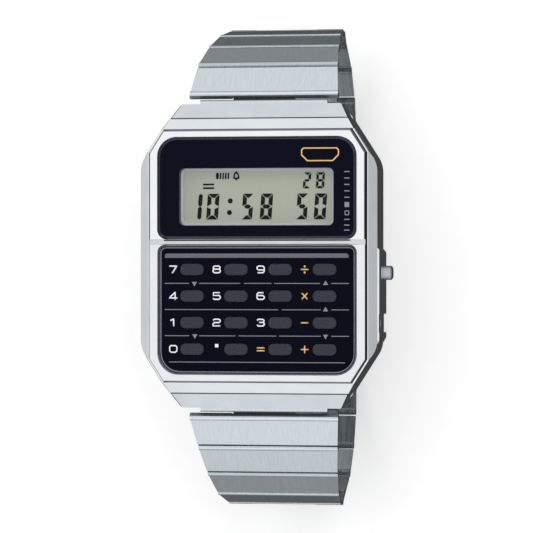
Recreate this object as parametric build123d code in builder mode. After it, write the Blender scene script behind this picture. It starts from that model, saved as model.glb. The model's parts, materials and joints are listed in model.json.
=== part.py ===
from build123d import *
from math import cos, radians, sin
import os

os.makedirs("parts", exist_ok=True)

# A calculator watch, face up, in millimetres. The origin is the middle of the back cover's outer face,
# +Z points out of the face, +Y to 12 o'clock and +X to the two side buttons at 3 o'clock.

# Case, seen from above: a rectangle with cut corners
case_length = 43.2
case_width = 34.0
case_height = 8.2
end_flat_share = 0.6765
side_flat_share = 0.6019
side_corner_radius = 4.0
end_corner_radius = 0.5

# Case, seen from the side: two facets fall from the raised frame to each end
deck_thickness = 1.1
facet_a_width = 2.1
facet_a_low_depth = 3.5
facet_a_high_depth = 2.1
facet_groove_width = 0.16
facet_groove_depth = 0.3
facet_b_high_depth = 1.05
side_bevel_width = 1.2
side_bevel_low_depth = 1.6
side_bevel_high_depth = 1.0
underside_chamfer = 1.2

# Raised frame round the two windows
frame_side_inset = 1.3
frame_end_inset = 3.65
frame_height = 0.8
frame_top_drop = 0.1
frame_corner_inset = 0.25
frame_edge_chamfer = 0.08
frame_draft = 22
frame_edge_slope = 45
keypad_frame_drop = 0.15
dividing_bar_width = 0.75
dividing_bar_drop = 0.3

# Windows
frame_side_border = 1.4
frame_end_border = 1.1
display_share = 0.431
display_top_radius = 2.8
display_bottom_radius = 1.4
keypad_top_radius = 1.1
keypad_bottom_radius = 3.1
window_ledge_width = 0.9

# Display glass, its metal surround and the liquid crystal panel
glass_thickness = 1.2
glass_chamfer = 0.4
surround_side_margin = 3.05
surround_end_margin = 3.02
surround_offset_x = -0.1
surround_offset_y = -1.26
surround_radius = 0.9
surround_wall = 0.3
surround_bevel = 0.25
panel_thickness = 1.05
panel_margin = 1.3
polariser_share = 0.2

# Keypad
key_columns = 4
key_rows = 4
key_spread_x_share = 0.886
key_spread_y_share = 0.8153
key_width_share = 0.536
key_length_share = 0.4412
key_grid_offset_x = 0.18
key_grid_offset_y = 0.07
key_plate_thickness = 0.6
key_plate_chamfer = 0.35
key_proud = 0.4
key_edge_chamfer = 0.22
key_flange_width = 0.4
key_flange_thickness = 0.35
key_flange_gap = 0.08
key_travel = 0.3
mat_thickness = 0.8
mat_dome_radius = 1.3
mat_dome_taper = 25
mat_dome_gap = 0.08

# Module inside the case
case_side_wall = 2.7
case_end_wall = 4.7
corner_wall = 3.9
module_gap = 0.12
module_wall = 0.9
board_thickness = 0.6
strip_height = 0.6
chip_share = 0.227
chip_thickness = 0.7
battery_share = 0.35
battery_thickness = 1.6
battery_cap_thickness = 0.25
battery_offset_share = 0.118
cap_share = 0.88
clip_thickness = 0.2
clip_arm_width = 4.0
sounder_share = 0.21
sounder_thickness = 0.25
sounder_offset_share = 0.281
strip_width = 1.1

# Back cover, its gasket and screws
back_thickness = 0.8
back_inset = 0.9
back_edge_chamfer = 0.3
back_end_clearance = 0.3
gasket_inset = 0.3
gasket_width = 0.65
gasket_height = 0.6
gasket_gap = 0.05
screw_inset = 1.75
screw_head_radius = 0.8
screw_head_height = 0.4
screw_shank_radius = 0.42
screw_length = 3.2
screw_sink = 0.05
screw_slot_share = 0.3

# Side buttons and their guard
button_radius = 1.0
button_proud = 1.3
button_y = -2.4
adjust_y = -9.5
button_height_share = 0.47
button_travel = 0.6
adjust_travel = 0.5
adjust_proud = 0.1
button_head_length = 1.5
stem_radius = 0.45
stem_past_wall = 0.75
seal_ring_size = 0.32
seal_wall = 0.3
retainer_radius = 0.95
retainer_thickness = 0.2
button_dome = 0.2
guard_proud = 0.5
guard_top_y = 0.5
guard_slope = 0.6
guard_bottom_y = -12.4
guard_low_share = 0.16
guard_high_share = 0.76
notch_half_length = 1.3
notch_depth = 0.35
bump_radius = 0.9

# End pieces that join the bracelet to the case
end_piece_width = 18.4
end_piece_gap = 0.15
end_piece_barrel_radius = 0.95
lug_depth = 3.4
lug_height = 3.3
spring_bar_inset = 1.8
spring_bar_rise = 2.2
spring_bar_radius = 0.6
spring_bar_tip_radius = 0.38
spring_bar_tip_length = 1.9

# Bracelet links: a folded plate with a rolled edge on the case side
link_pitch = 5.5
band_flare = 1.55
band_end_width = 14.3
taper_links = 6
roll_radius = 0.58
plate_drop = 0.06
link_sheet = 0.45
link_gap = 0.15
tongue_width = 9.0
tongue_sheet = 0.26
tongue_root = 1.2
knuckle_radius = 0.36
knuckle_gap = 0.06
pin_radius = 0.2
pin_gap = 0.03
fold_width = 2.6
fold_sheet = 0.2
first_pivot_out = 1.4
first_pivot_height = 2.0
upper_tilts = [38, 60, 70, 79, 90, 106, 125, 145, 164]
lower_tilts = [37, 44, 56, 73, 86, 100, 118, 138, 158, 175]

# Clasp
blade_sheet = 0.45
blade_side_gap = 0.7
cover_side_lip = 0.1
cover_sheet = 0.7
cover_depth = 2.7
cover_end_radius = 1.75
cover_end_gap = 0.3
hinge_pin_radius = 0.4
hinge_knuckle_radius = 0.9
lock_width = 9.0
lock_length = 7.0
lock_sheet = 0.5
lock_gap = 0.12
lock_barrel_radius = 0.48
lock_pin_radius = 0.22
lock_ear_width = 0.9
lock_inset = 2.6
lock_sink = 0.05
nail_notch_radius = 1.2

# Sides of small round sections, inside or repeated, which stay plain
small_sides = 10
roll_sides = 12
head_sides = 20
disc_sides = 30
key_end_sides = 8

overrun = 2.0

# Levels, from the back cover's outer face at zero
glass_top = case_height
frame_top = glass_top - frame_top_drop
deck_top = frame_top - frame_height
deck_under = deck_top - deck_thickness
seat_level = glass_top - glass_thickness
half_length = case_length / 2
half_width = case_width / 2
corner_x = case_width * end_flat_share / 2
corner_y = case_length * side_flat_share / 2

# Plan sizes that follow from the case
frame_width = case_width - 2 * frame_side_inset
frame_length = case_length - 2 * frame_end_inset
window_width = frame_width - 2 * frame_side_border
window_length = frame_length - 2 * frame_end_border
cavity_width = case_width - 2 * case_side_wall
cavity_length = case_length - 2 * case_end_wall

# Window places
display_length = window_length * display_share
keypad_length = window_length - display_length - dividing_bar_width
display_y = window_length / 2 - display_length / 2
keypad_y = -window_length / 2 + keypad_length / 2
surround_width = window_width - 2 * surround_side_margin
surround_length = display_length - 2 * surround_end_margin
key_grid_y = keypad_y + key_grid_offset_y
key_pitch_x = window_width / key_columns * key_spread_x_share
key_pitch_y = keypad_length / key_rows * key_spread_y_share
key_width = key_pitch_x * key_width_share
key_length = key_pitch_y * key_length_share


def save(part, name):
    part.label = name
    export_step(part, f"parts/{name}.step")


# Outline of the case from above
with BuildSketch() as case_outline:
    with BuildLine():
        Polyline(
            (corner_x, half_length), (half_width, corner_y), (half_width, -corner_y),
            (corner_x, -half_length), (-corner_x, -half_length), (-half_width, -corner_y),
            (-half_width, corner_y), (-corner_x, half_length), close=True,
        )
    make_face()
    fillet(case_outline.vertices().group_by(Axis.X)[0], side_corner_radius)
    fillet(case_outline.vertices().group_by(Axis.X)[-1], side_corner_radius)
    fillet(case_outline.vertices().group_by(Axis.Y)[0], end_corner_radius)
    fillet(case_outline.vertices().group_by(Axis.Y)[-1], end_corner_radius)

# Outline of the raised frame: straight sides, cut by the case's corners
with BuildSketch() as frame_outline:
    add(case_outline.sketch)
    offset(amount=-frame_corner_inset, mode=Mode.REPLACE)
    Rectangle(frame_width, frame_length, mode=Mode.INTERSECT)


def window_sketch(length, top_radius, bottom_radius, shrink):
    """One window's outline about its own middle."""
    with BuildSketch() as window:
        Rectangle(window_width - 2 * shrink, length - 2 * shrink)
        fillet(window.vertices().group_by(Axis.Y)[-1], max(top_radius - shrink, shrink))
        fillet(window.vertices().group_by(Axis.Y)[0], max(bottom_radius - shrink, shrink))
    return window.sketch


def display_window(shrink):
    window = window_sketch(display_length, display_top_radius, display_bottom_radius, shrink)
    return Pos(0, display_y) * window


def keypad_window(shrink):
    window = window_sketch(keypad_length, keypad_top_radius, keypad_bottom_radius, shrink)
    return Pos(0, keypad_y) * window


# Module cavity outline: its corners are cut so that the same wall, with room for a screw, stays at each
corner_run = (half_length - corner_y, half_width - corner_x)
corner_slope = (corner_run[0] ** 2 + corner_run[1] ** 2) ** 0.5
corner_out = (corner_run[0] / corner_slope, corner_run[1] / corner_slope)
case_corner_reach = corner_out[0] * corner_x + corner_out[1] * half_length
cavity_corner_reach = (corner_out[0] * cavity_width + corner_out[1] * cavity_length) / 2
cavity_corner_cut = 2 * (cavity_corner_reach - case_corner_reach + corner_wall) / sum(corner_out)
with BuildSketch() as cavity_outline:
    Rectangle(cavity_width, cavity_length)
    chamfer(cavity_outline.vertices(), cavity_corner_cut)

lug_inner_y = half_length - lug_depth
spring_bar_y = half_length - spring_bar_inset
first_pivot_y = half_length + first_pivot_out
button_z = case_height * button_height_share
guard_low = case_height * guard_low_share
guard_high = case_height * guard_high_share
wall_inner_x = cavity_width / 2
head_bore_radius = button_radius + 2 * pin_gap
head_bore_floor = half_width + guard_proud - button_head_length - button_travel
ring_bore_radius = stem_radius + pin_gap + seal_ring_size
ring_bore_end = wall_inner_x + seal_wall
cut_middle = (cavity_width / 2 - cavity_corner_cut / 2, cavity_length / 2 - cavity_corner_cut / 2)
screw_x = cut_middle[0] + corner_out[0] * screw_inset
screw_y = cut_middle[1] + corner_out[1] * screw_inset
screw_places = [(x * screw_x, y * screw_y) for x in (-1, 1) for y in (-1, 1)]

# Side view of the case: half profile from the middle to one end, mirrored
facet_b_top_y = frame_length / 2
facet_split_y = half_length - facet_a_width
end_profile = [
    (0, back_thickness),
    (half_length - underside_chamfer, back_thickness),
    (half_length, back_thickness + underside_chamfer),
    (half_length, glass_top - facet_a_low_depth),
    (facet_split_y + facet_groove_width / 2, glass_top - facet_a_high_depth),
    (facet_split_y + facet_groove_width / 2, glass_top - facet_a_high_depth - facet_groove_depth),
    (facet_split_y - facet_groove_width / 2, glass_top - facet_a_high_depth - facet_groove_depth),
    (facet_split_y - facet_groove_width / 2, glass_top - facet_a_high_depth + facet_groove_width),
    (facet_b_top_y, glass_top - facet_b_high_depth),
    (facet_b_top_y, deck_top),
    (0, deck_top),
]

with BuildPart() as case_body:
    with BuildSketch(Plane.XY.offset(back_thickness)):
        add(case_outline.sketch)
    extrude(amount=deck_top - back_thickness)
    with BuildSketch(Plane.YZ) as side_view:
        with BuildLine():
            Polyline(*end_profile, close=True)
        make_face()
        mirror(about=Plane.YZ)
    extrude(amount=case_width, both=True, mode=Mode.INTERSECT)
    bevel_low = glass_top - side_bevel_low_depth
    bevel_high = glass_top - side_bevel_high_depth
    with BuildSketch(Plane.XZ) as front_view:
        with BuildLine():
            Polyline(
                (half_width, 0), (half_width, bevel_low), (half_width - side_bevel_width, bevel_high),
                (half_width - side_bevel_width, glass_top), (side_bevel_width - half_width, glass_top),
                (side_bevel_width - half_width, bevel_high), (-half_width, bevel_low), (-half_width, 0),
                close=True,
            )
        make_face()
    extrude(amount=case_length, both=True, mode=Mode.INTERSECT)
    # Guard beside the buttons: a low rail that ends in a rounded bump past the recessed button
    rail_x = half_width + guard_proud
    with BuildSketch(Plane.XY.offset(guard_low)) as guard:
        with BuildLine():
            Polyline(
                (wall_inner_x, guard_top_y + guard_slope), (half_width, guard_top_y + guard_slope),
                (rail_x, guard_top_y), (rail_x, adjust_y + notch_half_length),
                (rail_x - notch_depth, adjust_y + notch_half_length),
                (rail_x - notch_depth, adjust_y - notch_half_length),
                (rail_x, adjust_y - notch_half_length), (rail_x, guard_bottom_y + bump_radius),
                (half_width, guard_bottom_y), (wall_inner_x, guard_bottom_y), close=True,
            )
        make_face()
    extrude(amount=guard_high - guard_low)
    with BuildSketch(Plane.XY.offset(back_thickness)):
        add(cavity_outline.sketch)
    extrude(amount=deck_under - back_thickness, mode=Mode.SUBTRACT)
    # Seats for the display glass and the key plate, and the openings below them
    with BuildSketch(Plane.XY.offset(seat_level)):
        add(display_window(0))
        add(keypad_window(0))
    extrude(amount=case_height, mode=Mode.SUBTRACT)
    with BuildSketch(Plane.XY.offset(deck_under - overrun)):
        with Locations((surround_offset_x, display_y + surround_offset_y)):
            RectangleRounded(surround_width + module_gap, surround_length + module_gap, surround_radius)
        add(keypad_window(window_ledge_width))
    extrude(amount=case_height, mode=Mode.SUBTRACT)
    # Recesses that take the bracelet's end pieces, and the spring bars' holes through the lugs
    with BuildSketch(Plane.XY):
        with Locations((0, half_length), (0, -half_length)):
            Rectangle(end_piece_width + 2 * end_piece_gap, 2 * lug_depth)
    extrude(amount=back_thickness + lug_height, mode=Mode.SUBTRACT)
    with BuildSketch(Plane.YZ):
        with Locations((spring_bar_y, spring_bar_rise), (-spring_bar_y, spring_bar_rise)):
            RegularPolygon(spring_bar_tip_radius + pin_gap, small_sides, major_radius=False)
    extrude(amount=case_width, both=True, mode=Mode.SUBTRACT)
    # Stepped bores for the buttons: head, seal ring, then stem
    with BuildSketch(Plane.YZ.offset(head_bore_floor)):
        with Locations((button_y, button_z), (adjust_y, button_z)):
            RegularPolygon(head_bore_radius, head_sides, major_radius=False)
    extrude(amount=case_width, mode=Mode.SUBTRACT)
    with BuildSketch(Plane.YZ.offset(ring_bore_end)):
        with Locations((button_y, button_z), (adjust_y, button_z)):
            RegularPolygon(ring_bore_radius + pin_gap, small_sides, major_radius=False)
    extrude(amount=case_width, mode=Mode.SUBTRACT)
    with BuildSketch(Plane.YZ):
        with Locations((button_y, button_z), (adjust_y, button_z)):
            RegularPolygon(stem_radius + pin_gap, small_sides, major_radius=False)
    extrude(amount=case_width, mode=Mode.SUBTRACT)
    # Gasket groove and screw holes in the underside
    with BuildSketch(Plane.XY.offset(back_thickness)):
        add(cavity_outline.sketch)
        offset(amount=gasket_inset + gasket_width + gasket_gap, kind=Kind.INTERSECTION, mode=Mode.REPLACE)
        with BuildSketch(mode=Mode.PRIVATE) as groove_inner:
            add(cavity_outline.sketch)
            offset(amount=gasket_inset - gasket_gap, kind=Kind.INTERSECTION, mode=Mode.REPLACE)
        add(groove_inner.sketch, mode=Mode.SUBTRACT)
    extrude(amount=gasket_height, mode=Mode.SUBTRACT)
    with BuildSketch(Plane.XY.offset(back_thickness)):
        with Locations(*screw_places):
            RegularPolygon(screw_shank_radius + pin_gap, small_sides, major_radius=False)
    extrude(amount=screw_length, mode=Mode.SUBTRACT)
save(case_body.part, "case_body")

# Raised frame round both windows, with a bar between them
with BuildPart() as window_frame:
    with BuildSketch(Plane.XY.offset(deck_top)):
        add(frame_outline.sketch)
    extrude(amount=frame_height - frame_edge_chamfer, taper=frame_draft)
    extrude(window_frame.faces().sort_by(Axis.Z)[-1], amount=frame_edge_chamfer, taper=frame_edge_slope)
    with BuildSketch(Plane.XY.offset(frame_top - keypad_frame_drop)):
        with Locations((0, keypad_y - window_length / 2)):
            Rectangle(case_width, keypad_length + window_length)
    extrude(amount=case_height, mode=Mode.SUBTRACT)
    with BuildSketch(Plane.XY.offset(frame_top - dividing_bar_drop)):
        with Locations((0, window_length / 2 - display_length - dividing_bar_width / 2)):
            Rectangle(case_width, dividing_bar_width)
    extrude(amount=case_height, mode=Mode.SUBTRACT)
    with BuildSketch(Plane.XY.offset(deck_top)):
        add(display_window(0))
        add(keypad_window(0))
    extrude(amount=case_height, mode=Mode.SUBTRACT)
save(window_frame.part, "window_frame")

with BuildPart() as display_glass:
    with BuildSketch(Plane.XY.offset(seat_level)):
        add(display_window(pin_gap))
    extrude(amount=glass_thickness)
    chamfer(display_glass.faces().sort_by(Axis.Z)[-1].edges(), glass_chamfer)
save(display_glass.part, "display_glass")

# Bright surround seen through the glass, round the liquid crystal panel
surround_place = (surround_offset_x, display_y + surround_offset_y)
with BuildPart() as display_surround:
    with BuildSketch(Plane.XY.offset(deck_under)):
        with Locations(surround_place):
            RectangleRounded(surround_width, surround_length, surround_radius)
    extrude(amount=seat_level - deck_under)
    with BuildSketch(Plane.XY.offset(deck_under)):
        with Locations(surround_place):
            RectangleRounded(
                surround_width - 2 * surround_wall - 2 * surround_bevel,
                surround_length - 2 * surround_wall - 2 * surround_bevel,
                surround_radius - surround_bevel,
            )
    extrude(amount=seat_level, mode=Mode.SUBTRACT)
    inner_edges = display_surround.faces().sort_by(Axis.Z)[-1].inner_wires()[0].edges()
    chamfer(inner_edges, surround_bevel)
save(display_surround.part, "display_surround")

panel_top = deck_under
panel_under = panel_top - panel_thickness
panel_width = surround_width + panel_margin
panel_length = surround_length + 2 * panel_margin
with BuildPart() as display_panel:
    with BuildSketch(Plane.XY.offset(panel_under)):
        with Locations(surround_place):
            Rectangle(panel_width, panel_length)
    extrude(amount=panel_thickness * (1 - polariser_share) / 2)
    with BuildSketch(Plane.XY.offset(panel_under + panel_thickness * (1 - polariser_share) / 2)):
        with Locations(surround_place):
            Rectangle(panel_width, panel_length - panel_margin)
    extrude(amount=panel_thickness * (1 - polariser_share) / 2)
    with BuildSketch(Plane.XY.offset(panel_top - panel_thickness * polariser_share)):
        with Locations(surround_place):
            Rectangle(surround_width, surround_length)
    extrude(amount=panel_thickness * polariser_share)
save(display_panel.part, "display_panel")

# Keypad: black plate with sixteen slots, the keys below it and the rubber mat that lifts them
key_plate_top = seat_level + key_plate_thickness
key_places = [
    (
        key_grid_offset_x + (column - (key_columns - 1) / 2) * key_pitch_x,
        key_grid_y - (row - (key_rows - 1) / 2) * key_pitch_y,
    )
    for row in range(key_rows) for column in range(key_columns)
]


def key_outline(place, grow):
    """Straight long sides and rounded ends, made of a few flats."""
    end_radius = key_length / 2 + grow
    end_x = key_width / 2 - key_length / 2
    with BuildSketch() as outline:
        with Locations(place):
            Rectangle(2 * end_x, 2 * end_radius)
            with Locations((-end_x, 0), (end_x, 0)):
                RegularPolygon(end_radius, key_end_sides)
    return outline.sketch


key_names = [
    "key_7", "key_8", "key_9", "key_divide", "key_4", "key_5", "key_6", "key_multiply",
    "key_1", "key_2", "key_3", "key_minus", "key_0", "key_point", "key_equals", "key_plus",
]
with BuildPart() as key_plate:
    with BuildSketch(Plane.XY.offset(seat_level)):
        add(keypad_window(pin_gap))
    extrude(amount=key_plate_thickness)
    chamfer(key_plate.faces().sort_by(Axis.Z)[-1].edges(), key_plate_chamfer)
    with BuildSketch(Plane.XY.offset(seat_level)):
        for key_place in key_places:
            add(key_outline(key_place, module_gap))
    extrude(amount=case_height, mode=Mode.SUBTRACT)
save(key_plate.part, "key_plate")

key_flange_top = seat_level - key_flange_gap
for key_name, key_place in zip(key_names, key_places):
    with BuildPart() as key:
        with BuildSketch(Plane.XY.offset(key_flange_top - key_flange_thickness)):
            add(key_outline(key_place, key_flange_width))
        extrude(amount=key_flange_thickness)
        with BuildSketch(Plane.XY.offset(key_flange_top)):
            add(key_outline(key_place, 0))
        extrude(amount=key_plate_top + key_proud - key_flange_top)
        chamfer(key.faces().sort_by(Axis.Z)[-1].edges(), key_edge_chamfer)
    save(key.part, key_name)

board_top = panel_under - strip_height
battery_radius = cavity_width * battery_share
battery_y = -cavity_length * battery_offset_share
sounder_radius = cavity_width * sounder_share
sounder_y = cavity_length * sounder_offset_share
mat_dome_top = key_flange_top - key_flange_thickness - key_travel - mat_dome_gap
mat_sheet_width = window_width - 2 * window_ledge_width
mat_sheet_length = keypad_length - 2 * window_ledge_width
with BuildPart() as key_mat:
    with BuildSketch(Plane.XY.offset(board_top)):
        with Locations((0, keypad_y)):
            Rectangle(mat_sheet_width, mat_sheet_length)
        with BuildSketch(mode=Mode.PRIVATE) as mat_limit:
            add(cavity_outline.sketch)
            offset(amount=-module_gap - module_wall, kind=Kind.INTERSECTION, mode=Mode.REPLACE)
        add(mat_limit.sketch, mode=Mode.INTERSECT)
    extrude(amount=mat_thickness)
    dome_height = mat_dome_top - board_top - mat_thickness
    with BuildSketch(Plane.XY.offset(board_top + mat_thickness)):
        with Locations(*key_places):
            RegularPolygon(mat_dome_radius, key_end_sides)
    extrude(amount=dome_height, taper=mat_dome_taper)
save(key_mat.part, "key_mat")

# Module: carrier, circuit board, connector strips, battery and its clip
carrier_under = back_thickness + sounder_thickness + pin_gap
board_under = board_top - board_thickness
pocket_inset = module_gap + module_wall
strip_y = surround_place[1] + panel_length / 2 - strip_width
with BuildPart() as module_frame:
    with BuildSketch(Plane.XY.offset(carrier_under)):
        add(cavity_outline.sketch)
        offset(amount=-module_gap, kind=Kind.INTERSECTION, mode=Mode.REPLACE)
    extrude(amount=deck_under - carrier_under)
    with BuildSketch(Plane.XY.offset(carrier_under)):
        add(cavity_outline.sketch)
        offset(amount=-pocket_inset, kind=Kind.INTERSECTION, mode=Mode.REPLACE)
    extrude(amount=board_top - carrier_under, mode=Mode.SUBTRACT)
    with BuildSketch(Plane.XY.offset(board_top)):
        with Locations(surround_place):
            Rectangle(panel_width + 2 * module_gap, panel_length + 2 * module_gap)
        with Locations((0, keypad_y)):
            Rectangle(mat_sheet_width + 2 * module_gap, mat_sheet_length + 2 * module_gap)
    extrude(amount=case_height, mode=Mode.SUBTRACT)
    # Room for the button stems, which reach past the case wall
    with BuildSketch(Plane.YZ):
        with Locations((button_y, button_z), (adjust_y, button_z)):
            RegularPolygon(retainer_radius + module_gap, small_sides, major_radius=False)
    extrude(amount=case_width, mode=Mode.SUBTRACT)
save(module_frame.part, "module_frame")

with BuildPart() as circuit_board:
    with BuildSketch(Plane.XY.offset(board_under)):
        add(cavity_outline.sketch)
        offset(amount=-pocket_inset - module_gap, kind=Kind.INTERSECTION, mode=Mode.REPLACE)
        with Locations((cavity_width / 2, button_y), (cavity_width / 2, adjust_y)):
            RegularPolygon(retainer_radius + module_gap + module_wall, small_sides, mode=Mode.SUBTRACT)
    extrude(amount=board_thickness)
    with BuildSketch(Plane.XY.offset(board_under - chip_thickness)):
        with Locations((0, sounder_y)):
            Rectangle(cavity_width * chip_share, cavity_width * chip_share)
    extrude(amount=chip_thickness)
save(circuit_board.part, "circuit_board")

with BuildPart() as connector_strips:
    with BuildSketch(Plane.XY.offset(board_top)):
        with Locations((surround_place[0], strip_y), (surround_place[0], 2 * surround_place[1] - strip_y)):
            Rectangle(panel_width - panel_margin, strip_width)
    extrude(amount=strip_height)
save(connector_strips.part, "connector_strips")

battery_top = board_under - pin_gap
battery_under = battery_top - battery_thickness
with BuildPart() as battery:
    with BuildSketch(Plane.XY.offset(battery_under)):
        with Locations((0, battery_y)):
            RegularPolygon(battery_radius, disc_sides)
    extrude(amount=battery_thickness - battery_cap_thickness)
    chamfer(battery.faces().sort_by(Axis.Z)[0].edges(), battery_cap_thickness)
    with BuildSketch(Plane.XY.offset(battery_top - battery_cap_thickness)):
        with Locations((0, battery_y)):
            RegularPolygon(battery_radius * cap_share, disc_sides)
    extrude(amount=battery_cap_thickness)
save(battery.part, "battery")

# One stamped clip: a bar under the battery, arms up its sides and two contact leaves for the buttons
clip_top = battery_under - pin_gap
clip_half = wall_inner_x - stem_past_wall - button_travel - pin_gap
clip_wall_x = battery_radius + module_gap
with BuildPart() as battery_clip:
    with BuildSketch(Plane.XZ.offset(-battery_y)):
        with BuildLine():
            Polyline(
                (-clip_half, board_under), (-clip_wall_x, board_under), (-clip_wall_x, clip_top),
                (clip_wall_x, clip_top), (clip_wall_x, board_under), (clip_half, board_under),
            )
            offset(amount=clip_thickness, side=Side.RIGHT)
        make_face()
    extrude(amount=clip_arm_width / 2, both=True)
save(battery_clip.part, "battery_clip")

with BuildPart() as sounder_disc:
    with BuildSketch(Plane.XY.offset(back_thickness)):
        with Locations((0, sounder_y)):
            RegularPolygon(sounder_radius, disc_sides)
    extrude(amount=sounder_thickness / 2)
    with BuildSketch(Plane.XY.offset(back_thickness + sounder_thickness / 2)):
        with Locations((0, sounder_y)):
            RegularPolygon(sounder_radius * cap_share, disc_sides)
    extrude(amount=sounder_thickness / 2)
save(sounder_disc.part, "sounder_disc")

# Back cover with countersunk screws, and the gasket above it
back_half_length = lug_inner_y - back_end_clearance
with BuildPart() as back_cover:
    with BuildSketch():
        add(case_outline.sketch)
        offset(amount=-back_inset, mode=Mode.REPLACE)
        Rectangle(case_width, 2 * back_half_length, mode=Mode.INTERSECT)
    extrude(amount=back_thickness)
    chamfer(back_cover.faces().sort_by(Axis.Z)[0].edges(), back_edge_chamfer)
    with BuildSketch():
        with Locations(*screw_places):
            RegularPolygon(screw_head_radius + pin_gap, head_sides, major_radius=False)
    extrude(amount=screw_head_height + screw_sink, mode=Mode.SUBTRACT)
    with BuildSketch():
        with Locations(*screw_places):
            RegularPolygon(screw_shank_radius + pin_gap, small_sides, major_radius=False)
    extrude(amount=back_thickness, mode=Mode.SUBTRACT)
save(back_cover.part, "back_cover")

with BuildPart() as back_gasket:
    with BuildSketch(Plane.XY.offset(back_thickness)):
        add(cavity_outline.sketch)
        offset(amount=gasket_inset + gasket_width, kind=Kind.INTERSECTION, mode=Mode.REPLACE)
        with BuildSketch(mode=Mode.PRIVATE) as gasket_inner:
            add(cavity_outline.sketch)
            offset(amount=gasket_inset, kind=Kind.INTERSECTION, mode=Mode.REPLACE)
        add(gasket_inner.sketch, mode=Mode.SUBTRACT)
    extrude(amount=gasket_height - gasket_gap)
save(back_gasket.part, "back_gasket")

with BuildPart() as back_screws:
    with BuildSketch(Plane.XY.offset(screw_sink)):
        with Locations(*screw_places):
            RegularPolygon(screw_head_radius, head_sides)
    extrude(amount=screw_head_height)
    with BuildSketch(Plane.XY.offset(screw_sink)):
        with Locations(*screw_places):
            RegularPolygon(screw_shank_radius, small_sides)
    extrude(amount=screw_length)
    cross_length = 2 * screw_head_radius * (1 - screw_slot_share)
    cross_width = screw_head_radius * screw_slot_share
    with BuildSketch(Plane.XY.offset(screw_sink)):
        with Locations(*screw_places):
            Rectangle(cross_length, cross_width)
            Rectangle(cross_width, cross_length)
    extrude(amount=screw_head_height / 2, mode=Mode.SUBTRACT)
save(back_screws.part, "back_screws")


def side_button(name, y, outer_x, travel):
    """Head, stem with its seal ring, and the retainer inside the wall."""
    head_length = outer_x - head_bore_floor - travel
    stem_end = wall_inner_x - stem_past_wall
    with BuildPart() as button:
        with BuildSketch(Plane.YZ.offset(outer_x - head_length)):
            with Locations((y, button_z)):
                Circle(button_radius)
        extrude(amount=head_length)
        chamfer(button.edges().sort_by(Axis.X)[-1], button_dome)
        with BuildSketch(Plane.YZ.offset(stem_end)):
            with Locations((y, button_z)):
                RegularPolygon(stem_radius, small_sides)
        extrude(amount=outer_x - head_length - stem_end)
        with BuildSketch(Plane.YZ.offset(wall_inner_x - pin_gap - retainer_thickness)):
            with Locations((y, button_z)):
                RegularPolygon(retainer_radius, small_sides)
        extrude(amount=retainer_thickness)
        with BuildSketch(Plane.YZ.offset(ring_bore_end + travel + seal_wall)):
            with Locations((y, button_z)):
                RegularPolygon(ring_bore_radius, small_sides)
        extrude(amount=seal_ring_size)
    save(button.part, name)


side_button("mode_button", button_y, half_width + guard_proud + button_proud, button_travel)
side_button("adjust_button", adjust_y, half_width + guard_proud - notch_depth + adjust_proud, adjust_travel)


def chain_pivots(side, tilts):
    """Pivots of one half of the bracelet, walked link by link down from the case."""
    points = [(side * first_pivot_y, first_pivot_height)]
    for tilt in tilts:
        y, z = points[-1]
        points.append((y + side * link_pitch * cos(radians(tilt)), z - link_pitch * sin(radians(tilt))))
    return points


def side_plane(side, point, tilt):
    """Side view of a link: x runs along the bracelet away from the case, y points outwards."""
    along = (0, side * cos(radians(tilt)), -sin(radians(tilt)))
    return Plane(origin=(0, point[0], point[1]), x_dir=along, z_dir=(side, 0, 0))


def top_plane(side, point, tilt):
    """A link's plan: x runs along the bracelet, the normal points outwards."""
    along = (0, side * cos(radians(tilt)), -sin(radians(tilt)))
    outwards = (0, side * sin(radians(tilt)), cos(radians(tilt)))
    return Plane(origin=(0, point[0], point[1]), x_dir=along, z_dir=outwards)


def band_width(pivot_number):
    band_start_width = end_piece_width + 2 * band_flare
    step = (band_start_width - band_end_width) / taper_links
    return max(band_end_width, band_start_width - step * pivot_number)


plate_top = roll_radius - plate_drop
plate_under = plate_top - link_sheet
slot_radius = knuckle_radius + knuckle_gap


def slot_profile(place):
    """Opens a rolled edge below and behind, where the neighbour's tongue comes in."""
    with BuildSketch(place) as profile:
        RegularPolygon(slot_radius, small_sides, major_radius=False)
        with Locations((-roll_radius, -roll_radius)):
            Rectangle(2 * roll_radius + 2 * slot_radius, 2 * roll_radius)
    return profile.sketch


def tongue_profile(place, pitch):
    """Narrow tongue that wraps the next pin."""
    plate_end = pitch - roll_radius - link_gap
    with BuildSketch(place) as profile:
        with BuildLine():
            Polyline(
                (plate_end - tongue_root, plate_under + link_sheet / 2), (plate_end, plate_under + link_sheet / 2),
                (plate_end, tongue_sheet - knuckle_radius), (pitch, tongue_sheet - knuckle_radius),
                (pitch, -knuckle_radius), (plate_end - tongue_root / 2, -knuckle_radius), close=True,
            )
        make_face()
        with Locations((pitch, 0)):
            RegularPolygon(knuckle_radius, small_sides)
    return profile.sketch


def pin_profile(place):
    with BuildSketch(place) as profile:
        RegularPolygon(pin_radius, small_sides)
    return profile.sketch


def bore_profile(place, distance):
    """Hole in a tongue for the next link's pin."""
    with BuildSketch(place) as profile:
        with Locations((distance, 0)):
            RegularPolygon(pin_radius + pin_gap, small_sides, major_radius=False)
    return profile.sketch


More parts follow.
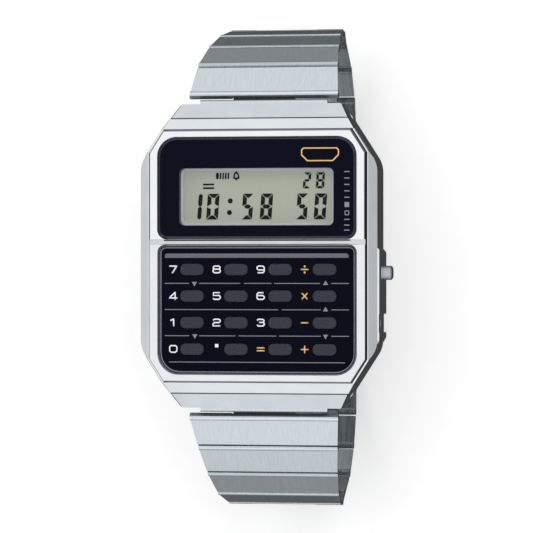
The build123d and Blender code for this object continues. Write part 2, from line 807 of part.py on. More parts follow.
def band_link(name, side, point, tilt, start_width, end_width):
    place = side_plane(side, point, tilt)
    plate_end = link_pitch - roll_radius - link_gap
    with BuildPart() as link:
        with BuildSketch(place):
            RegularPolygon(roll_radius, roll_sides)
            with Locations((0, plate_under)):
                Rectangle(plate_end, link_sheet, align=Align.MIN)
        extrude(amount=start_width / 2, both=True)
        # Inner fold that closes the link on the wrist side
        with BuildSketch(place):
            with BuildLine():
                Polyline(
                    (0, -roll_radius), (slot_radius + fold_width, -roll_radius),
                    (slot_radius + fold_width, plate_under), (slot_radius + fold_width - fold_sheet, plate_under),
                    (slot_radius + fold_width - fold_sheet, fold_sheet - roll_radius),
                    (0, fold_sheet - roll_radius), close=True,
                )
            make_face()
        extrude(amount=tongue_width / 2 - pin_radius, both=True)
        with BuildSketch(top_plane(side, point, tilt)):
            with BuildLine():
                Polyline(
                    (-roll_radius, start_width / 2), (0, start_width / 2), (link_pitch, end_width / 2),
                    (link_pitch, -end_width / 2), (0, -start_width / 2), (-roll_radius, -start_width / 2),
                    close=True,
                )
            make_face()
        extrude(amount=overrun, both=True, mode=Mode.INTERSECT)
        extrude(slot_profile(place), amount=tongue_width / 2 + link_gap, both=True, mode=Mode.SUBTRACT)
        extrude(tongue_profile(place, link_pitch), amount=tongue_width / 2, both=True)
        extrude(bore_profile(place, link_pitch), amount=tongue_width, both=True, mode=Mode.SUBTRACT)
        extrude(pin_profile(place), amount=tongue_width / 2 + 2 * link_gap, both=True)
    save(link.part, name)


def end_piece(name, side):
    """Plate in the case's recess, rolled round the spring bar, with a tongue for the first link."""
    place = side_plane(side, (side * spring_bar_y, spring_bar_rise), 0)
    pitch = first_pivot_y - spring_bar_y
    rise = first_pivot_height - spring_bar_rise
    plate_end = pitch - roll_radius - link_gap
    with BuildPart() as piece:
        with BuildSketch(place):
            RegularPolygon(end_piece_barrel_radius, roll_sides)
            with Locations((0, rise + plate_top)):
                Rectangle(plate_end, link_sheet, align=(Align.MIN, Align.MAX))
        extrude(amount=end_piece_width / 2, both=True)
        tongue_place = side_plane(side, (side * spring_bar_y, first_pivot_height), 0)
        extrude(tongue_profile(tongue_place, pitch), amount=tongue_width / 2, both=True)
        extrude(bore_profile(tongue_place, pitch), amount=end_piece_width, both=True, mode=Mode.SUBTRACT)
        with BuildSketch(place):
            RegularPolygon(spring_bar_radius + pin_gap, small_sides, major_radius=False)
        extrude(amount=end_piece_width, both=True, mode=Mode.SUBTRACT)
        with BuildSketch(place):
            RegularPolygon(spring_bar_radius, small_sides)
        extrude(amount=end_piece_width / 2 - pin_gap, both=True)
        with BuildSketch(place):
            RegularPolygon(spring_bar_tip_radius, small_sides)
        extrude(amount=end_piece_width / 2 + spring_bar_tip_length, both=True)
    save(piece.part, name)


end_piece("end_piece_upper", 1)
end_piece("end_piece_lower", -1)
upper_pivots = chain_pivots(1, upper_tilts)
lower_pivots = chain_pivots(-1, lower_tilts)
for half_name, side, pivots, tilts in (
    ("upper", 1, upper_pivots, upper_tilts), ("lower", -1, lower_pivots, lower_tilts),
):
    for number, tilt in enumerate(tilts):
        band_link(
            f"{half_name}_link_{number + 1:02d}", side, pivots[number], tilt,
            band_width(number), band_width(number + 1),
        )

# Clasp: a blade that carries on from the upper half, and a cover that folds over it
blade_y, blade_z = upper_pivots[-1]
hinge_y = lower_pivots[-1][0] + knuckle_radius + cover_end_gap + cover_end_radius
hinge_z = blade_z
cover_floor = hinge_z - cover_end_radius
cover_top = cover_floor + cover_depth
cover_open_y = blade_y - roll_radius - link_gap
blade_pitch = blade_y - hinge_y
blade_place = side_plane(1, upper_pivots[-1], 180)
cover_width = band_end_width + 2 * cover_side_lip
blade_width = cover_width - 2 * cover_sheet - 2 * blade_side_gap
with BuildPart() as clasp_blade:
    with BuildSketch(blade_place):
        RegularPolygon(roll_radius, roll_sides)
        with Locations((0, plate_under)):
            Rectangle(blade_pitch, blade_sheet, align=Align.MIN)
        with Locations((blade_pitch, 0)):
            RegularPolygon(hinge_knuckle_radius, roll_sides)
    extrude(amount=blade_width / 2, both=True)
    extrude(slot_profile(blade_place), amount=tongue_width / 2 + link_gap, both=True, mode=Mode.SUBTRACT)
    with BuildSketch(blade_place):
        with Locations((blade_pitch, 0)):
            RegularPolygon(hinge_pin_radius + pin_gap, small_sides, major_radius=False)
    extrude(amount=blade_width, both=True, mode=Mode.SUBTRACT)
    extrude(pin_profile(blade_place), amount=tongue_width / 2 + 2 * link_gap, both=True)
save(clasp_blade.part, "clasp_blade")

lock_y = hinge_y + lock_inset
lock_pin_z = cover_floor + lock_sheet + lock_sink + lock_gap
with BuildPart() as clasp_cover:
    with BuildSketch(Plane.YZ):
        with Locations((hinge_y, cover_floor)):
            Rectangle(cover_open_y - hinge_y, cover_depth, align=Align.MIN)
        with Locations((hinge_y, hinge_z)):
            Circle(cover_end_radius)
        with Locations((hinge_y, cover_top)):
            Rectangle(
                2 * cover_end_radius, cover_end_radius,
                align=(Align.CENTER, Align.MIN), mode=Mode.SUBTRACT,
            )
    extrude(amount=cover_width / 2, both=True)
    with BuildSketch(Plane.YZ):
        with Locations((hinge_y, cover_floor + cover_sheet)):
            Rectangle(cover_open_y - hinge_y + overrun, cover_depth + overrun, align=Align.MIN)
        with Locations((hinge_y, hinge_z)):
            Circle(cover_end_radius - cover_sheet)
            Rectangle(2 * cover_end_radius + overrun, cover_end_radius, align=(Align.CENTER, Align.MIN))
    extrude(amount=cover_width / 2 - cover_sheet, both=True, mode=Mode.SUBTRACT)
    # Window for the lock plate, and the ears that hold its pin
    with BuildSketch(Plane.XY.offset(cover_floor)):
        with Locations((0, lock_y - lock_barrel_radius - lock_gap)):
            Rectangle(
                lock_width + 2 * lock_gap, lock_length + lock_barrel_radius + 2 * lock_gap,
                align=(Align.CENTER, Align.MIN),
            )
        with Locations((0, lock_y + lock_length)):
            Circle(nail_notch_radius)
    extrude(amount=cover_sheet, mode=Mode.SUBTRACT)
    with BuildSketch(Plane.YZ):
        with Locations((lock_y, lock_pin_z)):
            RegularPolygon(lock_barrel_radius, roll_sides)
            Rectangle(2 * lock_barrel_radius, lock_pin_z - cover_floor, align=(Align.CENTER, Align.MAX))
    extrude(amount=lock_width / 2 + lock_gap + lock_ear_width, both=True)
    with BuildSketch(Plane.YZ):
        with Locations((lock_y, lock_pin_z)):
            RegularPolygon(lock_barrel_radius + lock_gap, roll_sides, major_radius=False)
        with Locations((lock_y - lock_barrel_radius - lock_gap, cover_floor - overrun)):
            Rectangle(
                2 * lock_barrel_radius + 2 * lock_gap, lock_pin_z - cover_floor + overrun, align=Align.MIN,
            )
    extrude(amount=lock_width / 2 + lock_gap, both=True, mode=Mode.SUBTRACT)
    # The two pins, riveted into the cover
    with BuildSketch(Plane.YZ):
        with Locations((lock_y, lock_pin_z)):
            Circle(lock_pin_radius)
    extrude(amount=lock_width / 2 + lock_gap + lock_ear_width, both=True)
    with BuildSketch(Plane.YZ):
        with Locations((hinge_y, hinge_z)):
            Circle(hinge_pin_radius)
    extrude(amount=cover_width / 2, both=True)
save(clasp_cover.part, "clasp_cover")

with BuildPart() as clasp_lock:
    with BuildSketch(Plane.YZ):
        with Locations((lock_y, lock_pin_z)):
            RegularPolygon(lock_barrel_radius, roll_sides)
        with Locations((lock_y, cover_floor + lock_sink)):
            Rectangle(lock_length, lock_sheet, align=Align.MIN)
        with Locations((lock_y, lock_pin_z)):
            RegularPolygon(
                lock_pin_radius + pin_gap, small_sides, major_radius=False, mode=Mode.SUBTRACT,
            )
    extrude(amount=lock_width / 2, both=True)
save(clasp_lock.part, "clasp_lock")
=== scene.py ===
import bpy
import json
from math import cos, pi, radians, sin
from mathutils import Matrix, Vector


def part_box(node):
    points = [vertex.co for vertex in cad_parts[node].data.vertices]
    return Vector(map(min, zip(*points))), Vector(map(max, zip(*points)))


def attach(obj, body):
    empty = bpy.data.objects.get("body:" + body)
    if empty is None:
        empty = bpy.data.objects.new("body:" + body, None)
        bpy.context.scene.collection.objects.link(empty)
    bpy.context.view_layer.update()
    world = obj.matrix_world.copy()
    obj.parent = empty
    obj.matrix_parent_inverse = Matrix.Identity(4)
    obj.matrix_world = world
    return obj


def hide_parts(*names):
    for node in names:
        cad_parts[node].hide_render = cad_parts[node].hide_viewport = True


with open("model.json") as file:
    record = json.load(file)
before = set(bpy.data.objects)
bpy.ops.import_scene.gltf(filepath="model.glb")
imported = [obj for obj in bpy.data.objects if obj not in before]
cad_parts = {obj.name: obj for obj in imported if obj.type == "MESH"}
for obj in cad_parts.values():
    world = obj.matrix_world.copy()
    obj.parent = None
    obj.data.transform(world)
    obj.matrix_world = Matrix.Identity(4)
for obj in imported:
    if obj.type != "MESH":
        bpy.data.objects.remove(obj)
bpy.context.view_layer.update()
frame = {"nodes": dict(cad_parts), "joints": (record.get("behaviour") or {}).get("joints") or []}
mm = 0.001
near = 0.01  # places closer than this, in millimetres, count as the same
facing = 0.9  # a face looks along an axis when its normal has more than this on it
print("watch: frame loaded")


def tone(red, green, blue):
    # screen colour, 0 to 255, as the linear colour that a shader takes
    parts = [c / 255 for c in (red, green, blue)]
    return tuple(c / 12.92 if c < 0.04045 else ((c + 0.055) / 1.055) ** 2.4 for c in parts) + (1,)


# shader nodes
def feed(tree, node, inputs):
    # each input takes another node's output or a plain value
    for label, source in inputs.items():
        if isinstance(source, bpy.types.NodeSocket):
            tree.links.new(source, node.inputs[label])
        else:
            node.inputs[label].default_value = source


def addNode(tree, kind, inputs, **settings):
    node = tree.nodes.new("ShaderNode" + kind)
    for label, value in settings.items():
        setattr(node, label, value)
    feed(tree, node, inputs)
    return node


def mixColours(tree, share, first, second):
    mix = addNode(tree, "Mix", {"Factor": share, "A": first, "B": second}, data_type="RGBA")
    return mix.outputs["Result"]


# shared shader effects
def newEffect(name, inputs, outputs):
    group = bpy.data.node_groups.new(name, "ShaderNodeTree")
    for label, start in inputs:
        socket = group.interface.new_socket(name=label, in_out="INPUT", socket_type="NodeSocketFloat")
        socket.default_value = start
    for label in outputs:
        group.interface.new_socket(name=label, in_out="OUTPUT", socket_type="NodeSocketFloat")
    enter, leave = group.nodes.new("NodeGroupInput"), group.nodes.new("NodeGroupOutput")
    return group, enter.outputs, leave, addNode(group, "TexCoord", {}).outputs["Object"]


def addNoise(group, leave, label, place, scale, detail):
    noise = addNode(group, "TexNoise", {"Scale": scale, "Detail": detail, "Vector": place})
    feed(group, leave, {label: noise.outputs["Fac"]})


def buildBrushedGrain():
    # fine streaks that run along the band and change across it
    group, enter, leave, place = newEffect(
        "brushedGrain", [("Across", 9000), ("Along", 350)], ["Streak", "Soft"])
    size = addNode(group, "CombineXYZ", {"X": enter["Across"], "Y": enter["Along"], "Z": enter["Along"]})
    stretch = addNode(group, "VectorMath", {0: place, 1: size.outputs["Vector"]}, operation="MULTIPLY")
    addNoise(group, leave, "Streak", stretch.outputs[0], scale=1, detail=4)
    addNoise(group, leave, "Soft", stretch.outputs[0], scale=0.22, detail=1)
    return group


def buildHandWear():
    # smudges and small scuffs from being worn and handled
    group, enter, leave, place = newEffect(
        "handWear", [("Smudge", 260), ("Scuff", 2600)], ["Smudge", "Scuff"])
    addNoise(group, leave, "Smudge", place, enter["Smudge"], detail=2)
    addNoise(group, leave, "Scuff", place, enter["Scuff"], detail=5)
    return group


def buildSpeckle():
    # moulded or printed grain: small even bumps, and wide patches
    group, enter, leave, place = newEffect("speckle", [("Scale", 9000)], ["Grain", "Patch"])
    addNoise(group, leave, "Grain", place, enter["Scale"], detail=2)
    addNoise(group, leave, "Patch", place, scale=500, detail=2)
    return group


def buildPlaceFade(name, axis):
    # 0 at Start and 1 at End, along one axis of the watch, in metres and the same on both sides
    group, enter, leave, place = newEffect(name, [("Start", 0), ("End", mm)], ["Fade"])
    split = addNode(group, "SeparateXYZ", {0: place})
    even = addNode(group, "Math", {0: split.outputs[axis]}, operation="ABSOLUTE")
    reach = addNode(group, "MapRange", {
        "Value": even.outputs[0], "From Min": enter["Start"], "From Max": enter["End"]})
    feed(group, leave, {"Fade": reach.outputs["Result"]})
    return group


brushedGrain = buildBrushedGrain()
handWear = buildHandWear()
speckle = buildSpeckle()
heightFade = buildPlaceFade("heightFade", "Z")
lengthFade = buildPlaceFade("lengthFade", "Y")
widthFade = buildPlaceFade("widthFade", "X")


def startMaterial(name):
    made = bpy.data.materials.new(name)
    made.use_nodes = True
    return made, made.node_tree, made.node_tree.nodes["Principled BSDF"]


def useEffect(tree, group, **values):
    return addNode(tree, "Group", values, node_tree=group).outputs


def spread(tree, source, low, high):
    # noise stays near one half, so its middle part is stretched over the range
    reach = addNode(tree, "MapRange", {
        "Value": source, "From Min": 0.3, "From Max": 0.7, "To Min": low, "To Max": high})
    return reach.outputs["Result"]


def tint(tree, source, dark, light):
    return mixColours(tree, spread(tree, source, 0, 1), tone(*dark), tone(*light))


def bump(tree, source, depth, strength):
    rise = addNode(tree, "Bump", {"Distance": depth, "Strength": strength, "Height": source})
    return rise.outputs["Normal"]


def shadeTowards(made, fade, start, end, dark):
    # paints shade: mixes a darker colour over a material's own, by place on the object, from start to end in
    # millimetres
    tree, shader = made.node_tree, made.node_tree.nodes["Principled BSDF"]
    own = shader.inputs["Base Color"].links[0].from_socket
    reach = useEffect(tree, fade, Start=start * mm, End=end * mm)
    feed(tree, shader, {"Base Color": mixColours(tree, reach["Fade"], own, tone(*dark))})


def polishedMetal(name, dark, light, smooth, scuffed):
    made, tree, shader = startMaterial(name)
    wear = useEffect(tree, handWear, Smudge=240, Scuff=2400)
    feed(tree, shader, {
        "Metallic": 1, "Base Color": tint(tree, wear["Smudge"], dark, light),
        "Roughness": spread(tree, wear["Scuff"], smooth, scuffed),
        "Normal": bump(tree, wear["Scuff"], depth=0.000004, strength=0.25)})
    return made


def brushedMetal(name, dark, light, smooth, rough, across, along, depth):
    made, tree, shader = startMaterial(name)
    grain = useEffect(tree, brushedGrain, Across=across, Along=along)
    feed(tree, shader, {
        "Metallic": 1, "Base Color": tint(tree, grain["Streak"], dark, light),
        "Roughness": spread(tree, grain["Soft"], smooth, rough),
        "Normal": bump(tree, grain["Streak"], depth, strength=0.35)})
    return made


def grainedSolid(name, dark, light, smooth, rough, scale, depth, gloss=0.5):
    made, tree, shader = startMaterial(name)
    grain = useEffect(tree, speckle, Scale=scale)
    feed(tree, shader, {
        "Specular IOR Level": gloss, "Base Color": tint(tree, grain["Grain"], dark, light),
        "Roughness": spread(tree, grain["Patch"], smooth, rough)})
    if depth:
        feed(tree, shader, {"Normal": bump(tree, grain["Grain"], depth, strength=0.5)})
    return made


# screen colours of the dark and light grain, least and most roughness, then, where a finish has them,
# the grain's scales, its depth in metres and the finish's gloss
caseChrome = polishedMetal("caseChrome", (234, 240, 243), (242, 247, 249), 0.07, 0.14)
rimChrome = polishedMetal("rimChrome", (236, 239, 242), (243, 245, 247), 0.06, 0.12)
guardChrome = polishedMetal("guardChrome", (234, 240, 243), (242, 247, 249), 0.07, 0.14)
smallSteel = polishedMetal("smallSteel", (205, 208, 212), (225, 228, 231), 0.12, 0.25)
bandSteel = brushedMetal("bandSteel", (221, 231, 235), (236, 246, 249), 0.2, 0.27, 15000, 500, 0.000003)
edgeSteel = brushedMetal("edgeSteel", (218, 227, 230), (234, 242, 245), 0.12, 0.18, 6000, 300, 0.000002)
# painted shade for the rolled edge's outer side and underside
foldShadeSteel = brushedMetal("foldShadeSteel", (192, 199, 202), (208, 215, 218), 0.2, 0.28, 6000, 300, 0.000002)
foldShadow = brushedMetal("foldShadow", (170, 176, 179), (188, 194, 197), 0.5, 0.6, 6000, 300, 0.000002)
endSteel = brushedMetal("endSteel", (210, 217, 221), (222, 229, 233), 0.2, 0.27, 15000, 500, 0.000003)
# the end facets' chrome is darker than the rest of the case: painted shade
facetChromeShade = polishedMetal("facetChromeShade", (220, 227, 231), (230, 236, 240), 0.07, 0.14)
# a rougher, darker steel on the wrist side; on the groove floor and in the joint it is painted shade
innerSteelGrooveShade = brushedMetal("innerSteelGrooveShade", (176, 183, 186), (200, 206, 209), 0.24, 0.36, 9000, 300, 0.000004)
# painted shade for the case's groove, the broken cut corners and the bar's sides
grooveShade = polishedMetal("grooveShade", (52, 54, 58), (70, 72, 76), 0.3, 0.45)
barSteel = polishedMetal("barSteel", (206, 210, 213), (216, 220, 223), 0.1, 0.16)
buttonSteel = polishedMetal("buttonSteel", (172, 174, 182), (190, 192, 200), 0.1, 0.2)
claspSteel = brushedMetal("claspSteel", (205, 209, 212), (226, 230, 232), 0.22, 0.34, 8000, 240, 0.000006)
backSteel = brushedMetal("backSteel", (190, 194, 198), (220, 223, 226), 0.24, 0.38, 7000, 200, 0.000007)
brassSheet = polishedMetal("brassSheet", (205, 170, 95), (225, 193, 118), 0.2, 0.34)
cellSteel = polishedMetal("cellSteel", (196, 199, 202), (214, 217, 220), 0.16, 0.3)
# painted shade: the rim darkens towards its foot, from 8.0 down to 7.4 mm
shadeTowards(rimChrome, heightFade, 8.0, 7.4, (96, 100, 104))
# painted shade: the button guard's top darkens at its outer side, from 17.16 to 17.24 mm out
shadeTowards(guardChrome, widthFade, 17.16, 17.24, (64, 67, 74))
# painted shade: the end pieces darken towards the first link, under its rolled edge, from 22.05 to 22.25 mm
# out
shadeTowards(endSteel, lengthFade, 22.05, 22.25, (58, 60, 64))
darkGlass = grainedSolid("darkGlass", (5, 8, 24), (7, 10, 28), 0.04, 0.07, 3000, 0, 0.045)
glassEdgeReflection = grainedSolid("glassEdgeReflection", (46, 49, 58), (56, 60, 68), 0.1, 0.16, 3000, 0, 0.3)
plateBlack = grainedSolid("plateBlack", (3, 5, 20), (6, 8, 24), 0.12, 0.2, 9000, 0.000002, 0.04)
plateEdgeHighlight = grainedSolid("plateEdgeHighlight", (128, 132, 140), (142, 146, 154), 0.2, 0.28, 6000, 0, 0.3)
ledgeHighlight = grainedSolid("ledgeHighlight", (88, 92, 100), (106, 110, 118), 0.3, 0.4, 5000, 0.000002, 0.4)
keyGrey = grainedSolid("keyGrey", (30, 33, 42), (66, 69, 80), 0.5, 0.62, 7000, 0.00002, 0.2)
displayGrey = grainedSolid("displayGrey", (205, 210, 193), (213, 218, 201), 0.3, 0.4, 6000, 0, 0.3)
segmentDark = grainedSolid("segmentDark", (8, 10, 10), (16, 18, 18), 0.4, 0.5, 5000, 0, 0.1)
surroundSilver = grainedSolid("surroundSilver", (228, 232, 235), (240, 243, 245), 0.3, 0.4, 5000, 0, 0.6)
printWhite = grainedSolid("printWhite", (246, 247, 249), (253, 253, 254), 0.5, 0.6, 12000, 0.000002, 0.2)
printGold = grainedSolid("printGold", (238, 188, 92), (250, 202, 110), 0.4, 0.5, 12000, 0.000002, 0.3)
printGrey = grainedSolid("printGrey", (128, 131, 138), (150, 153, 160), 0.5, 0.6, 12000, 0.000002, 0.2)
# black rubber for the back gasket; the same black also makes the strip of painted shade under the display
# glass
blackRubberAndGapShade = grainedSolid("blackRubberAndGapShade", (38, 38, 40), (50, 50, 52), 0.6, 0.75, 5000, 0.00001)
greyRubber = grainedSolid("greyRubber", (112, 113, 116), (128, 129, 132), 0.55, 0.7, 5000, 0.00001)
darkMoulding = grainedSolid("darkMoulding", (56, 57, 61), (68, 69, 73), 0.45, 0.6, 6000, 0.00001)
boardGreen = grainedSolid("boardGreen", (36, 104, 66), (50, 124, 82), 0.25, 0.4, 3500, 0.000004)


def buildClearPane():
    made, tree, shader = startMaterial("clearPane")
    wear = useEffect(tree, handWear, Smudge=300, Scuff=1500)
    feed(tree, shader, {
        "Base Color": tone(20, 24, 32), "Alpha": 0.1, "Roughness": spread(tree, wear["Smudge"], 0.03, 0.07)})
    return made


clearPane = buildClearPane()
print("watch: materials ready")


# helpers for modelling
def clearSelection():
    if bpy.context.object and bpy.context.object.mode != "OBJECT":
        bpy.ops.object.mode_set(mode="OBJECT")
    bpy.ops.object.select_all(action="DESELECT")


def useOnly(piece):
    clearSelection()
    piece.select_set(True)
    bpy.context.view_layer.objects.active = piece


def settle(piece, name):
    # the place goes into the mesh, the object stays at the origin
    useOnly(piece)
    bpy.ops.object.transform_apply(location=True, rotation=True, scale=True)
    piece.name = name
    return piece


def addBox(name, low, high):
    # corners in millimetres
    clearSelection()
    bpy.ops.mesh.primitive_cube_add(
        size=1, location=[(a + b) / 2 * mm for a, b in zip(low, high)],
        scale=[(b - a) * mm for a, b in zip(low, high)])
    return settle(bpy.context.object, name)


def addCylinder(name, middle, radius, length, sides, turn=(0, 0, 0)):
    clearSelection()
    bpy.ops.mesh.primitive_cylinder_add(
        vertices=sides, radius=radius * mm, depth=length * mm, location=[c * mm for c in middle],
        rotation=turn)
    return settle(bpy.context.object, name)


def addRod(name, middle, radius, length, sides):
    # a bar across the watch, along x
    return addCylinder(name, middle, radius, length, sides, (0, pi / 2, 0))


def pickNone(piece, kind):
    useOnly(piece)
    bpy.ops.object.mode_set(mode="EDIT")
    bpy.ops.mesh.select_mode(type=kind)
    bpy.ops.mesh.select_all(action="DESELECT")
    bpy.ops.object.mode_set(mode="OBJECT")


def within(value, limits):
    return limits[0] < value < limits[1]


def pickEdges(piece, test):
    # select edges by their two ends, in millimetres, then stay in edit mode
    pickNone(piece, "EDGE")
    points = [v.co / mm for v in piece.data.vertices]
    for edge in piece.data.edges:
        edge.select = bool(test(points[edge.vertices[0]], points[edge.vertices[1]]))
    bpy.ops.object.mode_set(mode="EDIT")


def pickFaces(piece, test):
    # select faces by middle, in millimetres, and normal, then stay in edit mode
    pickNone(piece, "FACE")
    for face in piece.data.polygons:
        face.select = bool(test(face.center / mm, face.normal))
    bpy.ops.object.mode_set(mode="EDIT")


def topEdges(level):
    # the edges of a piece's flat top
    return lambda a, b: min(a.z, b.z) > level - near


def bevelPicked(width, segments=1):
    bpy.ops.mesh.bevel(offset=width * mm, segments=segments, affect="EDGES", clamp_overlap=False)
    bpy.ops.object.mode_set(mode="OBJECT")


def extrudePicked(way):
    bpy.ops.mesh.extrude_region_move(TRANSFORM_OT_translate={"value": [c * mm for c in way]})
    bpy.ops.object.mode_set(mode="OBJECT")


def insetPicked(width, depth):
    bpy.ops.mesh.inset(thickness=width * mm, depth=depth * mm)
    bpy.ops.object.mode_set(mode="OBJECT")


def applyModifier(piece, kind, **settings):
    useOnly(piece)
    change = piece.modifiers.new("change", kind)
    for label, value in settings.items():
        setattr(change, label, value)
    bpy.ops.object.modifier_apply(modifier=change.name)


def applyBevel(piece, width, segments=2, angle=25):
    applyModifier(
        piece, "BEVEL", width=width * mm, segments=segments, limit_method="ANGLE", angle_limit=radians(angle),
        use_clamp_overlap=True, harden_normals=False)


def cutWith(piece, cutter):
    applyModifier(piece, "BOOLEAN", operation="DIFFERENCE", solver="EXACT", object=cutter)
    bpy.data.objects.remove(cutter, do_unlink=True)


def joinAll(pieces, name):
    clearSelection()
    for piece in pieces:
        piece.select_set(True)
    bpy.context.view_layer.objects.active = pieces[0]
    bpy.ops.object.join()
    pieces[0].name = name
    return pieces[0]


def shade(piece, angle=35):
    # large faces keep their own normal, so that only the broken edges turn
    useOnly(piece)
    bpy.ops.object.shade_smooth_by_angle(angle=radians(angle))
    applyModifier(piece, "WEIGHTED_NORMAL", weight=100, keep_sharp=True)


def dress(piece, body, slot, *finishes):
    piece.data.materials.clear()
    for finish in finishes:
        piece.data.materials.append(finish)
    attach(piece, body)


def setFinishes(piece, choose):
    # choose tells which of its finishes a face gets, by its middle in millimetres and its normal
    for face in piece.data.polygons:
        face.material_index = choose(face.center / mm, face.normal)


def addCopy(source, name):
    copy = bpy.data.objects.new(name, source.data.copy())
    bpy.context.scene.collection.objects.link(copy)
    return copy


def cadCopy(node, name, width, segments=2, firstEdges=None, firstWidth=0):
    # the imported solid's own form, with its edges broken as a polisher leaves them
    copy = addCopy(frame["nodes"][node], name)
    useOnly(copy)
    bpy.ops.mesh.customdata_custom_splitnormals_clear()
    bpy.ops.object.mode_set(mode="EDIT")
    bpy.ops.mesh.select_all(action="SELECT")
    bpy.ops.mesh.remove_doubles(threshold=0.000001)
    bpy.ops.mesh.dissolve_limited(angle_limit=radians(0.5))
    bpy.ops.object.mode_set(mode="OBJECT")
    if firstEdges:
        pickEdges(copy, firstEdges)
        bevelPicked(firstWidth, segments=2)
    applyBevel(copy, width, segments)
    shade(copy, angle=30)
    return copy


def giveFinish(node, finish):
    frame["nodes"][node].data.materials.clear()
    frame["nodes"][node].data.materials.append(finish)


def standIn(piece, node):
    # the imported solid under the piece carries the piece's main finish
    giveFinish(node, piece.data.materials[0])
    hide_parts(node)


def keepForm(node, name, body, slot, finish, width, segments=2):
    piece = cadCopy(node, name, width, segments)
    dress(piece, body, slot, finish)
    standIn(piece, node)


# case and frame
caseLook = {
    "edge": 0.07, "rimEdge": 0.05, "barEdge": 0.1, "cornerEdge": 0.13, "cornerWay": (0.77, 0.64),
    "cornerReach": 17, "cornerRun": 0.4, "facetFoot": 4.5, "grooveAt": 19.5, "grooveHalf": 0.12,
    "grooveFoot": 5.4, "grooveFloor": 5.95, "guardFrom": 16.95,
    "barLevel": 7.8, "barAcross": (0.2, 2.6), "barDepth": (7.6, 7.88), "barRun": 1,
    # how the faces of a finish lie, by parts of their normals
    "cornerTurn": 0.25, "cornerSlopes": (0.12, 0.8), "grooveWall": 0.8, "facetSlopes": (0.6, 0.95),
    "guardSlope": 0.5, "barFlat": 0.97,
}


def onCutCorner(a, b):
    # the cut corners' outer edges are broken wider than the rest, and look dark beside the facets with
    # painted shade
    wayX, wayY = caseLook["cornerWay"]
    out = min(abs(p.x) * wayX + abs(p.y) * wayY for p in (a, b))
    slanted = min(abs(a.x - b.x), abs(a.y - b.y)) > caseLook["cornerRun"]
    return slanted and min(a.z, b.z) > caseLook["facetFoot"] and out > caseLook["cornerReach"]


def onBar(a, b):
    # the long edges of the bar between the windows
    level = max(abs(p.z - caseLook["barLevel"]) for p in (a, b)) < 2 * near
    return level and abs(a.y - b.y) < near and abs(a.x - b.x) > caseLook["barRun"]


def caseFinish(middle, normal):
    # painted shade in the groove and on the broken corners, then the end facets, in a chrome darkened as
    # painted shade, and the button guard
    look = caseLook
    inGroove = abs(abs(middle.y) - look["grooveAt"]) < look["grooveHalf"] and middle.z > look["grooveFoot"]
    onCorner = min(abs(normal.x), abs(normal.y)) > look["cornerTurn"] and middle.z > look["facetFoot"]
    if inGroove and (abs(normal.y) > look["grooveWall"] or middle.z < look["grooveFloor"]):
        return 1
    if onCorner and within(normal.z, look["cornerSlopes"]):
        return 1
    if abs(middle.y) > look["grooveAt"] and within(normal.z, look["facetSlopes"]):
        return 2
    return 3 if middle.x > look["guardFrom"] and normal.z > look["guardSlope"] else 0


def rimFinish(middle, normal):
    # the bar's top has a finish of its own, and its sides get painted shade
    if within(middle.y, caseLook["barAcross"]) and within(middle.z, caseLook["barDepth"]):
        return 1 if normal.z > caseLook["barFlat"] else 2
    return 0


caseShell = cadCopy(
    "case_body", "caseShell", caseLook["edge"], firstEdges=onCutCorner, firstWidth=caseLook["cornerEdge"])
dress(caseShell, "case", "bright_case", caseChrome, grooveShade, facetChromeShade, guardChrome)
setFinishes(caseShell, caseFinish)
standIn(caseShell, "case_body")
windowRim = cadCopy(
    "window_frame", "windowRim", caseLook["rimEdge"], firstEdges=onBar, firstWidth=caseLook["barEdge"])
dress(windowRim, "case", "bright_case", rimChrome, barSteel, grooveShade)
setFinishes(windowRim, rimFinish)
standIn(windowRim, "window_frame")
print("watch: case done")


# display
displayLook = {
    "topCorner": 2.8, "bottomCorner": 1.4, "chamfer": 0.4, "dropShare": 0.85, "edgeSlopes": (0.3, 0.95),
    "opening": (-11.08, 4.3, 11.02, 12.36), "openingCorner": 0.7, "cutRoom": 1,
    "paneSeat": 0.02, "paneSink": 0.03, "paneThick": 0.3, "paneEdge": 0.02, "printRoom": 0.015,
    "gapShadeInset": 0.9, "gapShadeRun": (0.26, 0.06), "gapShadeLevels": (7.7, 7.85), "gapShadeEdge": 0.03,
    "surroundEdge": 0.03,
}


def roundedSlab(name, low, high, lowCorner, highCorner, segments=7):
    slab = addBox(name, low, high)
    middle = (low[1] + high[1]) / 2
    for corner, isLow in ((lowCorner, True), (highCorner, False)):
        pickEdges(slab, lambda a, b: abs(a.z - b.z) > near and max(abs(a.x - b.x), abs(a.y - b.y)) < near
                  and (a.y < middle) == isLow and min(abs(a.x - low[0]), abs(a.x - high[0])) < near)
        bevelPicked(corner, segments)
    return slab


def insideRounded(c, low, high):
    # is a point of the glass's top clearly inside the outline with its round corners
    look = displayLook
    reach = look["chamfer"] / 2
    isTop = c.y > (low.y + high.y) / 2
    corner = look["topCorner"] if isTop else look["bottomCorner"]
    dx = max(low.x + corner - c.x, c.x - high.x + corner, 0)
    dy = max(c.y - high.y + corner if isTop else low.y + corner - c.y, 0)
    if dx > 0 and dy > 0:
        return (dx * dx + dy * dy) ** 0.5 < corner - reach
    return min(c.x - low.x, high.x - c.x, c.y - low.y, high.y - c.y) > reach


def slopeHighlight(middle, normal):
    # the second finish goes on the faces that slope; its lighter grey is a painted highlight
    return 1 if within(normal.z, displayLook["edgeSlopes"]) else 0


